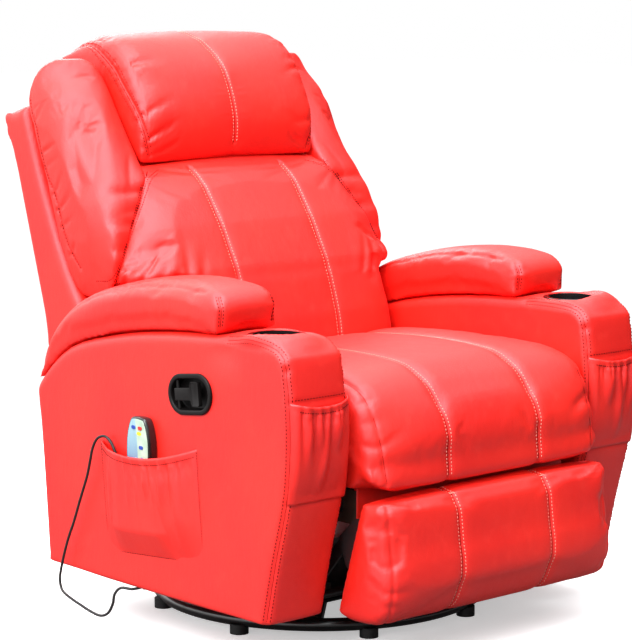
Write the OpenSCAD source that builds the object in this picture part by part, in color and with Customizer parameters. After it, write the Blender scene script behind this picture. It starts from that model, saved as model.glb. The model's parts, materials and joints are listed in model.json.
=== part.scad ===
// Swivel rocker recliner with vibration massage, a tethered hand control and a fold-out footrest.
// Frame: +Z up, floor at z = 0, the chair faces -Y, the sitter's right arm is at -X.

/* [Overall] */
// Width across the outer faces of the two arms
chair_w = 862; // [800:2:940]
// Width of one arm
arm_w = 136; // [124:1:150]
// Gap between the seat and each arm
side_gap = 8; // [5:1:14]
// Distance of the swivel axis behind the middle of the footprint
swivel_y = -20; // [-40:1:0]
// Radius of every running hinge clearance
run_gap = 0.05; // [0.02:0.01:0.09]

/* [Base] */
// Radius of the base ring's centreline
ring_r = 305; // [280:1:330]
// Diameter of the base ring's tube
ring_d = 24; // [20:1:26]
// Number of glides under the ring
glide_n = 8; // [5:1:12]
// Diameter of a glide
glide_d = 34; // [28:1:40]
// Height of a glide's pad below the ring
glide_h = 13; // [10:1:16]
// Width of a cross bar of the base
bar_w = 40; // [30:1:50]
// Side length of the two square swivel plates
plate_w = 300; // [270:2:320]
// Thickness of each swivel plate
plate_t = 5; // [4:0.5:6]
// Radius of the bearing's ball track
race_r = 90; // [70:1:110]
// Diameter of a bearing ball
ball_d = 8; // [6:0.5:9]
// Number of bearing balls
ball_n = 16; // [8:1:24]
// Diameter of the swivel's pivot bolt
bolt_d = 12; // [10:1:16]

/* [Rocker] */
// Radius of the curved rocker cams
cam_r = 420; // [380:5:480]
// Length of a rocker cam, front to back
cam_l = 340; // [300:5:360]
// Thickness of a rocker cam
cam_t = 30; // [24:1:36]
// Distance of each cam from the middle of the chair
cam_x = 125; // [120:1:130]
// Height of the block under a cam
block_h = 22; // [18:1:26]
// Free gap between a cam and its block
cam_gap = 2; // [1.5:0.1:3]
// Height of a cam from its rolling point to its top
cam_h = 54; // [48:1:60]
// Outer diameter of a rocker spring
coil_d = 30; // [24:1:36]

/* [Arms] */
// Height of the arm's flat deck above the floor
deck_z = 567; // [555:1:585]
// Height of the bottom edge of the side panels
skirt_z = 86; // [82:1:92]
// Thickness of the arm's padded cover
cover_t = 14; // [10:1:16]
// Rounding of the arm's edges
arm_round = 18; // [12:1:24]
// Height of the arm pad above the deck
pad_h = 78; // [60:1:95]
// Thickness of the arm's boards
board_t = 18; // [15:1:20]
// Inner diameter of a cup holder
cup_d = 84; // [76:1:88]
// Depth of a cup holder
cup_depth = 76; // [60:1:90]
// Wall of a cup holder
cup_wall = 3; // [2:0.5:4]
// Outer diameter of a cup holder's rim
cup_rim = 104; // [98:1:110]

/* [Pockets] */
// Length of the side pocket
side_pocket_w = 276; // [240:2:300]
// Height of the side pocket
side_pocket_h = 194; // [170:2:210]
// Room inside the side pocket in front of the panel
side_pocket_room = 25; // [24:0.5:30]
// Width of the front pocket
front_pocket_w = 124; // [110:1:128]
// Height of the front pocket
front_pocket_h = 172; // [150:2:185]
// Room inside the front pocket
front_pocket_room = 14; // [8:0.5:20]
// Thickness of the pocket cloth
cloth_t = 3; // [2:0.5:4]

/* [Seat] */
// Height of the seat cushion's crown
seat_z = 505; // [490:1:520]
// Forward travel of the seat while the back reclines
seat_travel = 60; // [40:1:70]
// Thickness of the seat frame's boards
seat_board = 20; // [16:1:22]
// Number of sinuous springs under the seat
seat_spring_n = 5; // [3:1:6]
// Thickness of the spring wire
wire_d = 4; // [3:0.5:5]
// Depth of a sewn channel in a cushion
channel = 5; // [2:0.5:8]
// Distance of the two sewn channels from the middle
channel_x = 112; // [90:1:130]

/* [Back] */
// Lean of the back frame from upright
lean = 17; // [14:0.5:20]
// Half width of the back's outer shell
shell_half = 340; // [325:1:350]
// Thickness of the shell's walls
shell_t = 20; // [14:1:22]
// Height of the shell along its lean
shell_l = 705; // [690:1:720]
// Half length of the head pillow
pillow_half = 214; // [200:1:225]
// Diameter of the recline pivot pins
recline_pin = 12; // [10:1:14]

/* [Footrest] */
// Length of the rear link of the footrest
rear_link = 189.5; // [185:0.5:192]
// Length of the front link of the footrest
front_link = 162; // [158:0.5:165]
// Thickness of the steel links
link_t = 5; // [4:0.5:5.5]
// Height of the steel links
link_h = 20; // [16:1:22]
// Diameter of the link pins
link_pin = 10; // [8:0.5:12]
// Thickness of the footrest board
foot_board_t = 16; // [12:1:20]

/* [Massage] */
// Diameter of a vibration motor pod
motor_d = 60; // [50:1:64]
// Height of a vibration motor pod
motor_h = 26; // [20:1:28]

/* [Release lever] */
// Length of the lever's bezel
bezel_l = 118; // [110:1:126]
// Height of the lever's bezel
bezel_h = 72; // [66:1:78]
// Depth of the finger recess inside the bezel
recess = 18; // [14:1:20]
// Angle of the bezel on the side panel
bezel_tilt = 7; // [0:0.5:10]
// Length of the lever's paddle
paddle_l = 66; // [58:1:72]

/* [Hand control] */
// Length of the hand control
remote_l = 166; // [155:1:175]
// Half width of the hand control at its widest
remote_half = 34; // [31:0.5:36]
// Thickness of the hand control
remote_t = 20; // [18:0.5:22]
// Wall of the hand control's case
case_t = 2; // [1.5:0.1:2.5]
// Travel of a button
button_travel = 0.8; // [0.5:0.1:1]
// Diameter of a zone button
zone_d = 7.2; // [6:0.2:8]
// Diameter of the hand control's cord
cord_d = 5; // [4:0.5:6]

/* [Hidden] */
$fn = 48;
seam_gap = 0.4;

// Stations across the chair
arm_out = chair_w / 2;
arm_in = arm_out - arm_w;
arm_x = (arm_out + arm_in) / 2;
seat_half = arm_in - side_gap;

// Heights of the base stack
ring_z = glide_h + ring_d / 2;
bar_h = 20;
bar_top = ring_z + bar_h / 2;
lower_plate_top = bar_top + plate_t;
plate_gap = 5;
upper_plate_z = lower_plate_top + plate_gap;
upper_plate_top = upper_plate_z + plate_t;
block_top = upper_plate_top + block_h;
cam_z = block_top + cam_gap;
cam_top = cam_z + cam_h;
tube_s = 22;
tube_top = cam_top + tube_s;
rail_h = 28;
rail_top = tube_top + rail_h;
cross_y = [swivel_y - 130, swivel_y + 130];

// Steel plates, links and rails at each side, as distances from the middle
plate_x = seat_half - 31;
mech_t = 4;
link1_x = plate_x + mech_t + 1;
link2_x = link1_x + link_t + 1;
bracket_x = link2_x + link_t + 1;
rail_x = seat_half - 17;
rail_w = 20;
hinge_x = plate_x - 1 - mech_t;

// Pivots of the footrest linkage and of the back, as [y, z]
p0 = [-350, 270];
rear_link_a = 110;
front_link_a = 49.5;
p1 = p0 + rear_link * [-cos(rear_link_a), -sin(rear_link_a)];
p2 = p1 + front_link * [-cos(front_link_a), sin(front_link_a)];
recline_p = [180, 300];

// Seat frame
seat_frame_top = 300;
seat_frame_h = 60;
seat_front_y = -400;
seat_rear_y = 100;

// ---------------------------------------------------------------- curves

// Point at t between p[i] and p[i + 1] on a Catmull-Rom curve
function curve_at(p, i, t) =
    let (a = p[max(i - 1, 0)], b = p[i], c = p[i + 1], d = p[min(i + 2, len(p) - 1)])
    0.5 * (2 * b + (c - a) * t + (2 * a - 5 * b + 4 * c - d) * t * t
        + (3 * b - a - 3 * c + d) * t * t * t);

// Smooth curve through the points p with n steps to each stretch
function smooth(p, n) = [
    for (i = [0 : len(p) - 2], k = [0 : n - 1]) curve_at(p, i, k / n),
    p[len(p) - 1]
];

function reversed(p) = [for (i = [len(p) - 1 : -1 : 0]) p[i]];
function mix(a, b, t) = a + (b - a) * t;
function wrap(i, n) = (i + n) % n;

// Closed outline drawn in by d; the outline runs anticlockwise
function drawn_in(p, d) = [
    for (j = [0 : len(p) - 1])
        let (t = p[wrap(j + 1, len(p))] - p[wrap(j - 1, len(p))], u = t / norm(t))
        p[j] + d * [-u[1], u[0]]
];

// How far the edge of a pad of half width h is drawn in at x, with edge rounding r
function edge_in(x, h, r) =
    let (over = min(max(abs(x) - (h - r), 0), r)) r * (1 - sqrt(max(0, 1 - pow(over / r, 2))));

// Depth of the sewn channels at x
function channel_in(x) = channel * exp(-pow((abs(x) - channel_x) / 7, 2));

// Mean of the k-th coordinate over the points p
function mean(p, k) = [for (q = p) q[k]] * [for (q = p) 1] / len(p);
function middle(p) = [mean(p, 0), mean(p, 1), mean(p, 2)];

// Closed solid through rings of equal length. The end rings are closed from their middles,
// or on a sheet, whose rings run up one face and down the other, from face to face.
module loft(rings, sheet = false) {
    n = len(rings[0]);
    m = len(rings);
    last = (m - 1) * n;
    points = [each [for (r = rings) each r], if (!sheet) middle(rings[0]), if (!sheet) middle(rings[m - 1])];
    sides = [
        for (i = [0 : m - 2], j = [0 : n - 1])
            let (a = i * n + j, b = i * n + (j + 1) % n, c = a + n, d = b + n)
            each [[a, c, b], [b, c, d]]
    ];
    fans = [for (j = [0 : n - 1]) each [
        [j, (j + 1) % n, m * n],
        [last + (j + 1) % n, last + j, m * n + 1]
    ]];
    strips = [for (k = [0 : n / 2 - 2], end = [0, last])
        let (t = [[k, k + 1, n - 1 - k], [k + 1, n - 2 - k, n - 1 - k]])
        each [for (f = t) end == 0 ? f : [last + f[2], last + f[1], last + f[0]]]
    ];
    polyhedron(points, concat(sides, sheet ? strips : fans));
}

// Side outline [y, z], anticlockwise seen from +X, lofted across the stations xs.
// inset(x) draws in all its points but the first fixed ones.
module across(outline, xs, inset, fixed = 0, room = function(p) 1000) {
    loft([for (x = xs)
        let (d = max(inset(x), 0.001), q = drawn_in(outline, d))
        [for (j = [0 : len(q) - 1])
            let (k = j < fixed ? 0 : min(1, room(outline[j]) / d), p = mix(outline[j], q[j], k)) [x, p[0], p[1]]]]);
}

// Stations across a pad of half width h whose edges are rounded by r
function pad_stations(h, r, inner = []) = let (e = [h, h - 0.12 * r, h - 0.4 * r, h - r])
    concat(-e, inner, reversed(e));

// Flat side outline [y, z] extruded from x0 to x1
module slab(x0, x1) {
    translate([x0, 0, 0]) rotate([90, 0, 90]) linear_extrude(x1 - x0) children();
}

// The same child on both sides of the chair
module both_sides() {
    children();
    mirror([1, 0, 0]) children();
}

// Cylinder along X from x0 to x1 through [y, z]
module pin_x(x0, x1, at, d) {
    translate([x0, at[0], at[1]]) rotate([0, 90, 0]) cylinder(h = x1 - x0, d = d);
}

// ---------------------------------------------------------------- base

module at_swivel(z) {
    translate([0, swivel_y, z]) children();
}

module ring_tube() {
    at_swivel(ring_z) rotate_extrude($fn = 96) translate([ring_r, 0]) circle(d = ring_d);
}

module base_ring() {
    color("black") ring_tube();
}

module base_cross_bars() {
    wall = 2.5;
    color([0.08, 0.08, 0.09]) difference() {
        for (a = [45, 135]) {
            at_swivel(ring_z) rotate([0, 0, a]) cube([2 * ring_r, bar_w, bar_h], center = true);
        }
        for (a = [45, 135]) {
            at_swivel(ring_z) rotate([0, 0, a])
                cube([2 * ring_r, bar_w - 2 * wall, bar_h - 2 * wall], center = true);
        }
        ring_tube();
        at_swivel(0) cylinder(h = bar_top + 1, d = 2.2 * bolt_d);
    }
}

module base_glides() {
    lip = 5;
    color([0.12, 0.12, 0.12]) difference() {
        for (k = [0 : glide_n - 1]) {
            at_swivel(0) rotate([0, 0, 20 + k * 360 / glide_n]) translate([ring_r, 0, 0])
                cylinder(h = glide_h + lip, d = glide_d);
        }
        ring_tube();
    }
}

// Ball track between the two swivel plates
module ball_track() {
    at_swivel(lower_plate_top + plate_gap / 2) rotate_extrude($fn = 96)
        translate([race_r, 0]) circle(d = ball_d + 2 * run_gap);
}

module swivel_plate(z, bore) {
    difference() {
        at_swivel(z + plate_t / 2) cube([plate_w, plate_w, plate_t], center = true);
        at_swivel(z - 1) cylinder(h = plate_t + 2, d = bore);
        ball_track();
    }
}

module swivel_lower_plate() {
    color([0.2, 0.2, 0.21]) swivel_plate(bar_top, bolt_d);
}

module swivel_bearing_balls() {
    color([0.75, 0.75, 0.78]) for (k = [0 : ball_n - 1]) {
        at_swivel(lower_plate_top + plate_gap / 2 - run_gap) rotate([0, 0, k * 360 / ball_n])
            translate([race_r, 0, 0]) sphere(d = ball_d);
    }
}

module swivel_pivot_bolt() {
    head_h = 7;
    nut_h = 8;
    play = 0.3;
    color([0.7, 0.7, 0.72]) {
        at_swivel(bar_top - head_h) cylinder(h = head_h, d = 1.8 * bolt_d, $fn = 6);
        at_swivel(bar_top - head_h) cylinder(h = upper_plate_top + play - bar_top + head_h + nut_h, d = bolt_d);
        at_swivel(upper_plate_top + play) cylinder(h = nut_h, d = 1.8 * bolt_d, $fn = 6);
    }
}

module swivel_upper_plate() {
    color([0.2, 0.2, 0.21]) swivel_plate(upper_plate_z, bolt_d + 2 * run_gap);
}

module rocker_blocks() {
    color([0.75, 0.6, 0.42]) both_sides() translate([cam_x, swivel_y, upper_plate_top + block_h / 2])
        cube([cam_t + 6, plate_w, block_h], center = true);
}

// ---------------------------------------------------------------- rocker

module rocker_springs() {
    spring_x = cam_x - cam_t / 2 - coil_d / 2 - 8;
    top_gap = 0.3;
    color([0.55, 0.55, 0.58]) for (x = [-spring_x, spring_x], y = [-60, 60]) {
        translate([x, swivel_y + y, upper_plate_top]) difference() {
            cylinder(h = cam_top - top_gap - upper_plate_top, d = coil_d);
            translate([0, 0, -1]) cylinder(h = cam_top, d = coil_d - 8);
        }
    }
}

module rocker_cams() {
    color([0.75, 0.6, 0.42]) both_sides() intersection() {
        pin_x(cam_x - cam_t / 2, cam_x + cam_t / 2, [swivel_y, cam_z + cam_r], 2 * cam_r, $fn = 96);
        translate([cam_x, swivel_y, cam_z + cam_h / 2]) cube([cam_t + 2, cam_l, cam_h], center = true);
    }
}

// ---------------------------------------------------------------- chair frame

module frame_cross_tubes() {
    wall = 2;
    plate_half = 100;
    color([0.1, 0.1, 0.1]) {
        for (y = cross_y) {
            translate([0, y, cam_top + tube_s / 2]) difference() {
                cube([2 * arm_in, tube_s, tube_s], center = true);
                cube([2 * arm_in + 1, tube_s - 2 * wall, tube_s - 2 * wall], center = true);
            }
        }
        translate([-plate_half, cross_y[0] + tube_s / 2, cam_top])
            cube([2 * plate_half, cross_y[1] - cross_y[0] - tube_s, 4]);
    }
}

module seat_guide_rails() {
    wall = 3;
    front_y = -290;
    rail_l = 420;
    color([0.12, 0.12, 0.13]) both_sides() difference() {
        translate([rail_x, front_y, tube_top]) cube([rail_w, rail_l, rail_h]);
        translate([rail_x + wall, front_y - 1, tube_top + wall])
            cube([rail_w, rail_l + 2, rail_h - 2 * wall]);
    }
}

// ---------------------------------------------------------------- arms

// Upright line of the arm's front and the arc over its top corner, from the floor up
hem_z = skirt_z - arm_round - 4;
arm_front = [
    [-362, hem_z], [-392, 195], [-423, 317], [-429, 433],
    [-419, deck_z - 37], [-409, deck_z - 15], [-388, deck_z - 2]
];
// Top of the arm from the deck back and down to the rear corner
arm_top = [
    [-360, deck_z], [-304, deck_z], [-240, deck_z - 1], [-95, deck_z - 11], [46, deck_z - 31],
    [189, deck_z - 69], [283, 425], [290, 386]
];
arm_rear = [[285, 349], [275, 237], [261, hem_z]];
arm_outline = smooth(reversed(concat(arm_front, arm_top, arm_rear)), 2);

function arm_front_y(z) = lookup(z, [for (q = arm_outline) if (q[0] < -300) [q[1], q[0]]]);

// Stadium shape of length l and height h
module stadium(l, h) {
    if (l > h) square([l - h, h], center = true);
    for (x = l > h ? [h - l, l - h] / 2 : [0]) {
        translate([x, 0]) circle(d = h);
    }
}

bezel_at = [-174, 458];
rim_t = 7;
dish_wall = 2.5;

// Local frame of the lever on the right side panel: x outward, y to the front, z up
module at_bezel() {
    translate([-arm_out, bezel_at[0], bezel_at[1]]) rotate([-bezel_tilt, 0, 0]) rotate([0, 0, 180]) children();
}

// Stadium block on the side panel from depth x0 to x1 outward
module bezel_block(x0, x1, l, h) {
    at_bezel() translate([x0, 0, 0]) rotate([90, 0, 90]) linear_extrude(x1 - x0) stadium(l, h);
}

cup_y = -320;

module arm_shape() {
    translate([-arm_x, 0, 0]) across(arm_outline, pad_stations(arm_w / 2, arm_round),
        function(x) edge_in(x, arm_w / 2, arm_round));
}

module arm_shell() {
    difference() {
        arm_shape();
        slab(-arm_out + cover_t, -arm_in - cover_t) polygon(drawn_in(arm_outline, cover_t));
        translate([-arm_out - 1, -600, hem_z - 1]) cube([arm_w + 2, 1200, skirt_z - hem_z + 1]);
        translate([-arm_x, cup_y, deck_z - cup_depth]) cylinder(h = cup_depth + 10, d = cup_d + 2 * cup_wall + seam_gap);
    }
}

module arm_cover_right() {
    color([0.85, 0.22, 0.18]) difference() {
        arm_shell();
        bezel_block(-cover_t - 2, 1, bezel_l - 12, bezel_h - 12);
    }
}

module arm_cover_left() {
    color([0.85, 0.22, 0.18]) mirror([1, 0, 0]) arm_shell();
}

// Boards inside the right arm
module arm_boards() {
    x0 = -arm_out + cover_t + 5;
    x1 = -arm_in - cover_t - seam_gap;
    post_y = [-350, 205];
    rail_z = 422;
    foot_z = skirt_z + 6;
    translate([x0, post_y[0], foot_z]) cube([x1 - x0, board_t, rail_z - foot_z]);
    translate([x0, post_y[1], foot_z]) cube([x1 - x0, board_t, rail_z - foot_z]);
    translate([x0, post_y[0], rail_z]) cube([x1 - x0, post_y[1] + board_t - post_y[0], board_t]);
    for (x = [x0, x1 - board_t]) {
        translate([x, post_y[0] + board_t, foot_z]) cube([board_t, post_y[1] - post_y[0] - board_t, 60]);
    }
}

module arm_frame_right() {
    color([0.75, 0.6, 0.42]) difference() {
        arm_boards();
        bezel_block(-cover_t - recess - 6, 1, bezel_l, bezel_h);
    }
}

module arm_frame_left() {
    color([0.75, 0.6, 0.42]) mirror([1, 0, 0]) arm_boards();
}

// Arm pad: its underside follows the arm's top, its crown falls away to the rear
pad_under = smooth([[-240, deck_z + 1.5], [-95, deck_z - 9], [46, deck_z - 29], [189, deck_z - 67], [284, 427]], 2);
pad_crown = smooth([
    [286, 440], [277, 468], [250, 515], [200, deck_z - 7], [143, deck_z + 25], [80, deck_z + 47],
    [-20, deck_z + pad_h - 8], [-120, deck_z + pad_h + 1], [-177, deck_z + pad_h],
    [-218, deck_z + pad_h - 4], [-242, deck_z + pad_h - 15], [-254, deck_z + 44], [-250, deck_z + 20]
], 2);
pad_round = 24;
pad_w = arm_w - 1;

module arm_pad_right() {
    color([0.9, 0.27, 0.22]) translate([-arm_x, 0, 0]) across(
        concat(pad_under, pad_crown), pad_stations(pad_w / 2, pad_round, [0]),
        function(x) edge_in(x, pad_w / 2, pad_round) + 6 * pow(x / pad_w * 2, 2), len(pad_under),
        function(p) 0.6 * (p[1] - lookup(p[0], pad_under)));
}

module arm_pad_left() {
    mirror([1, 0, 0]) arm_pad_right();
}

module cup_holder_right() {
    rim_h = 4;
    outer = cup_d / 2 + cup_wall;
    color([0.06, 0.06, 0.06]) translate([-arm_x, cup_y, deck_z + seam_gap]) rotate_extrude($fn = 72) difference() {
        union() {
            translate([0, -cup_depth]) square([outer, cup_depth + 1]);
            square([cup_rim / 2 - rim_h / 2, rim_h]);
            translate([cup_rim / 2 - rim_h / 2, rim_h / 2]) circle(d = rim_h);
        }
        translate([0, cup_wall - cup_depth]) square([cup_d / 2, cup_depth + 10]);
        translate([-20, -cup_depth - 1]) square([20, cup_depth + 10]);
    }
}

module cup_holder_left() {
    mirror([1, 0, 0]) cup_holder_right();
}

// ---------------------------------------------------------------- pockets

// Sheet of cloth sewn down at its sides and bottom and standing off in the middle.
// place(u, v, d) gives the point at u across, v up and d off the panel; top(u) is the hem's height.
module pocket(w, room, folds, top, place) {
    n = 4 * folds;
    rows = 4;
    gather = 3;
    loft([for (i = [0 : n])
        let (
            u = w * (i / n - 0.5),
            side = 1 - pow(abs(2 * u / w), 5),
            pleat = 0.5 + 0.5 * cos(360 * i / 4 + 180)
        )
        let (strip = [for (k = [0 : rows])
            let (t = k / rows, v = top(u) * t)
            [v, seam_gap + side * (room * sin(90 * min(1, 3 * t)) + gather * pleat * (0.3 + 0.7 * t * t))]
        ])
        [
            for (q = strip) place(u, q[0], q[1] + cloth_t),
            for (q = reversed(strip)) place(u, q[0], q[1])
        ]
    ], sheet = true);
}

side_pocket_foot = [-67, 160];
pocket_tilt = 5;
hem_sag = 22;
side_pocket_top = function(u) side_pocket_h - hem_sag * (1 - pow(2 * u / side_pocket_w, 2));

module side_pocket_right() {
    color([0.9, 0.3, 0.25]) pocket(side_pocket_w, side_pocket_room, 9, side_pocket_top,
        function(u, v, d) [
            -arm_out - d,
            side_pocket_foot[0] + u * cos(pocket_tilt) + v * sin(pocket_tilt),
            side_pocket_foot[1] - u * sin(pocket_tilt) + v * cos(pocket_tilt)
        ]);
}

module side_pocket_left() {
    mirror([1, 0, 0]) side_pocket_right();
}

front_pocket_z = 302;

module front_pocket_right() {
    color([0.9, 0.3, 0.25]) pocket(front_pocket_w, front_pocket_room, 7, function(u) front_pocket_h,
        function(u, v, d) [
            -arm_x - u,
            arm_front_y(front_pocket_z + v) + edge_in(u, arm_w / 2, arm_round) - d - seam_gap,
            front_pocket_z + v
        ]);
}

module front_pocket_left() {
    mirror([1, 0, 0]) front_pocket_right();
}

// ---------------------------------------------------------------- release lever

lever_hinge = 23 - bezel_l / 2;
lever_pin = 6;
ear_h = 5;
dish_l = bezel_l - 18;
dish_h = bezel_h - 18;

// Something along the lever's hinge line
module lever_axle(z0, z1, d) {
    at_bezel() translate([0, lever_hinge, z0]) cylinder(h = z1 - z0, d = d);
}

module lever_bezel() {
    color([0.05, 0.05, 0.05]) difference() {
        union() {
            difference() {
                union() {
                    bezel_block(0, rim_t, bezel_l, bezel_h);
                    bezel_block(-recess, 1, bezel_l - 12, bezel_h - 12);
                }
                bezel_block(dish_wall - recess, rim_t + 1, dish_l, dish_h);
            }
            intersection() {
                at_bezel() for (z = [-dish_h / 2, dish_h / 2 - ear_h]) {
                    translate([1 - recess, lever_hinge - 7, z]) cube([recess + 4, 14, ear_h]);
                }
                bezel_block(-recess, rim_t, bezel_l - 12, bezel_h - 12);
            }
        }
        lever_axle(-dish_h / 2 - 1, dish_h / 2 + 1, lever_pin + 2 * run_gap);
    }
}

module release_lever() {
    blade_h = 32;
    bar_h = dish_h - 2 * ear_h - 10;
    color([0.09, 0.09, 0.09]) {
        lever_axle(2 - dish_h / 2, dish_h / 2 - 2, lever_pin);
        at_bezel() {
            translate([-5, lever_hinge - 5, -bar_h / 2]) cube([10, 13, bar_h]);
            translate([-1, lever_hinge + 7, -blade_h / 2]) cube([6, paddle_l - 14, blade_h]);
            translate([-3, lever_hinge + paddle_l - 16, -blade_h / 2 - 4]) cube([10, 9, blade_h + 8]);
        }
    }
}

// ---------------------------------------------------------------- control box and cord

box_at = [-245, 10, tube_top - 22];
box_size = [80, cross_y[1] - tube_s / 2 - box_at[1], 22];
gland_l = 12;

module control_box() {
    color([0.1, 0.1, 0.1]) {
        translate(box_at) cube(box_size);
        translate([box_at[0] - gland_l, box_at[1] + 50, box_at[2] + 11]) rotate([0, 90, 0])
            cylinder(h = gland_l, d1 = cord_d + 3, d2 = cord_d + 7);
    }
}

clip_at = [-403, -4, 84];

module cord_clip() {
    clip_l = 12;
    color([0.1, 0.1, 0.1]) translate(clip_at) difference() {
        union() {
            rotate([0, 90, 0]) cylinder(h = clip_l, d = cord_d + 9, center = true);
            translate([-clip_l / 2, -10, skirt_z + 6 - clip_at[2] - 3]) cube([clip_l, 20, 3]);
            translate([-clip_l / 2, -2, 0]) cube([clip_l, 4, skirt_z + 6 - clip_at[2]]);
        }
        rotate([0, 90, 0]) cylinder(h = clip_l + 2, d = cord_d + 5, center = true);
    }
}

module rear_valance() {
    valance_t = 12;
    color([0.8, 0.2, 0.17]) translate([-arm_in, 248, skirt_z + 2])
        cube([2 * arm_in, valance_t, 92]);
}

remote_x = -(arm_out + 2 + remote_t / 2);
remote_y = -47;
remote_top = 404;
relief_l = 18;

// Cord route from the hand control's strain relief to the gland of the control box
cord_x = -447;
cord_route = [
    [remote_x, remote_y, remote_top - remote_l - relief_l - 2 * seam_gap], [remote_x, remote_y, 203],
    [-441.5, -40, 188], [-439, -22, 181], [-440, -3, 189], [-442, 6, 212],
    [-441, 12, 250], [-441, 22, 295], [-441, 38, 334], [-444, 56, 352], [-449, 74, 348],
    [-450, 88, 329], [-449, 98, 304], [cord_x, 111, 272], [cord_x, 132, 228], [cord_x, 153, 182],
    [cord_x, 170, 150], [cord_x, 184, 118], [cord_x, 196, 84], [cord_x, 200, 62],
    [cord_x, 192, 44], [cord_x, 168, 35], [cord_x, 141, 29], [cord_x, 106, 22],
    [cord_x, 76, 20], [-446, 54, 29], [-444, 42, 48], [-442, 39, 66], [-434, 31, 78],
    [-422, 14, 77], [-412, 0, 81], clip_at, [-392, -5, 84], [-366, 2, 76], [-330, 18, 68],
    [-298, 38, 76], [-280, 54, 100], [-274, 60, 124],
    [box_at[0] - gland_l, box_at[1] + 50, box_at[2] + 11]
];

// Round tube of n sides along the points p
module tube_along(p, d, n) {
    last = len(p) - 1;
    tangents = [for (i = [0 : last]) let (t = p[min(i + 1, last)] - p[max(i - 1, 0)]) t / norm(t)];
    first = cross(tangents[0], [1, 0, 0]);
    normals = [
        for (i = 0, q = first / norm(first); i <= last;
            i = i + 1, q = i <= last ? let (f = q - (q * tangents[i]) * tangents[i]) f / norm(f) : q) q
    ];
    loft([for (i = [0 : last]) [for (k = [0 : n - 1])
        p[i] + d / 2 * (cos(360 * k / n) * normals[i] + sin(360 * k / n) * cross(tangents[i], normals[i]))
    ]]);
}

module remote_cord() {
    color([0.07, 0.07, 0.07]) tube_along(smooth(cord_route, 2), cord_d, 8);
}

// ---------------------------------------------------------------- seat

module seat_frame() {
    rail_l = seat_rear_y - seat_front_y - 2 * seat_board;
    color([0.75, 0.6, 0.42]) {
        for (y = [seat_front_y, seat_rear_y - seat_board]) {
            translate([-plate_x + seat_board, y, seat_frame_top - seat_frame_h])
                cube([2 * (plate_x - seat_board), seat_board, seat_frame_h]);
        }
        both_sides() translate([plate_x - seat_board, seat_front_y, seat_frame_top - seat_frame_h])
            cube([seat_board, rail_l + 2 * seat_board, seat_frame_h]);
    }
}

// Sinuous wire springs from the front board to the rear board
module seat_springs() {
    waves = 9;
    swing = 18;
    y0 = seat_front_y + 6;
    span = seat_rear_y - seat_front_y - 12;
    pitch = 2 * (plate_x - 40) / seat_spring_n;
    color([0.6, 0.6, 0.62]) for (k = [0 : seat_spring_n - 1]) {
        line = [for (i = [0 : 6 * waves]) let (t = i / (6 * waves)) [swing * sin(360 * waves * t), y0 + span * t]];
        translate([pitch * (k - (seat_spring_n - 1) / 2), 0, seat_frame_top]) linear_extrude(wire_d)
            polygon(concat(line + [for (q = line) [wire_d / 2, 0]], reversed(line - [for (q = line) [wire_d / 2, 0]])));
    }
}

// Seat cushion: flat underside, front roll that hangs over the frame, crowned top
seat_base_z = seat_frame_top + wire_d + seam_gap;
seat_under = [
    [-416, seat_base_z], [-300, seat_base_z], [-130, seat_base_z], [30, seat_base_z]
];
seat_crown = smooth([
    [44, 330], [46, 400], [40, seat_z - 30], [20, seat_z - 16], [-40, seat_z - 10], [-150, seat_z - 2],
    [-260, seat_z], [-350, seat_z - 4], [-399, seat_z - 12], [-432, seat_z - 26], [-457, seat_z - 56],
    [-475, 405], [-485, 365], [-489, 332], [-480, 308], [-455, 301], [-432, 303]
], 2);
seat_stations = [channel_x - 9, channel_x, channel_x + 9, 190];

module seat_cushion() {
    r = 46;
    puff = 12;
    color([0.93, 0.3, 0.26]) difference() {
        across(concat(seat_under, seat_crown),
            pad_stations(seat_half, r, concat(-reversed(seat_stations), [0], seat_stations)),
            function(x) edge_in(x, seat_half, r) * 0.7 + channel_in(x) + puff * pow(x / seat_half, 4),
            len(seat_under));
        thigh_pods(1);
    }
}

// Motor pods, longer by past on the side where they go into a cushion
module thigh_pods(past = 0) {
    for (x = [-110, 110]) {
        translate([x, -180, seat_base_z - past]) cylinder(h = motor_h + past, d = motor_d);
    }
}

module thigh_motors() {
    color([0.2, 0.2, 0.22]) thigh_pods();
}

lug = 18;
runner_front_y = -240;
runner_l = 340;

module seat_mech_plates() {
    color([0.13, 0.13, 0.14]) both_sides() {
        difference() {
            slab(plate_x, plate_x + mech_t) {
                hull() {
                    translate(p0) circle(r = lug);
                    translate([-280, seat_frame_top - 40]) square([60, 38]);
                }
                translate([-282, seat_frame_top - 40]) square([362, 38]);
                hull() {
                    translate(recline_p) circle(r = lug);
                    translate([40, seat_frame_top - 36]) square([40, 32]);
                }
                translate([runner_front_y, rail_top + seam_gap]) square([runner_l, 84]);
            }
            for (y = [-170, -70, 30]) {
                pin_x(plate_x - 1, plate_x + mech_t + 1, [y, rail_top + 42], 44);
            }
        }
        translate([plate_x, runner_front_y, rail_top + seam_gap])
            cube([rail_x + rail_w - plate_x, runner_l, mech_t]);
        pin_x(plate_x, link1_x + link_t, p0, link_pin);
        pin_x(hinge_x - 1, plate_x, recline_p, recline_pin);
    }
}

// ---------------------------------------------------------------- back

back_foot = [308, 230];
frame_d = 58;
frame_front = -shell_t - frame_d - 2;

// Frame of the leaning back: y is square to its rear face, z runs up along it
module leaned() {
    translate([0, back_foot[0], back_foot[1]]) rotate([-lean, 0, 0]) children();
}

// Depth y of the plane at c in front of the back's rear face, at height z above the floor
function back_y(z, c) = back_foot[0] + (z - back_foot[1]) * tan(lean) - c / cos(lean);

// Height, along the back, of the seam between its tail and its rear panel
tail_l = 262;

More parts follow.
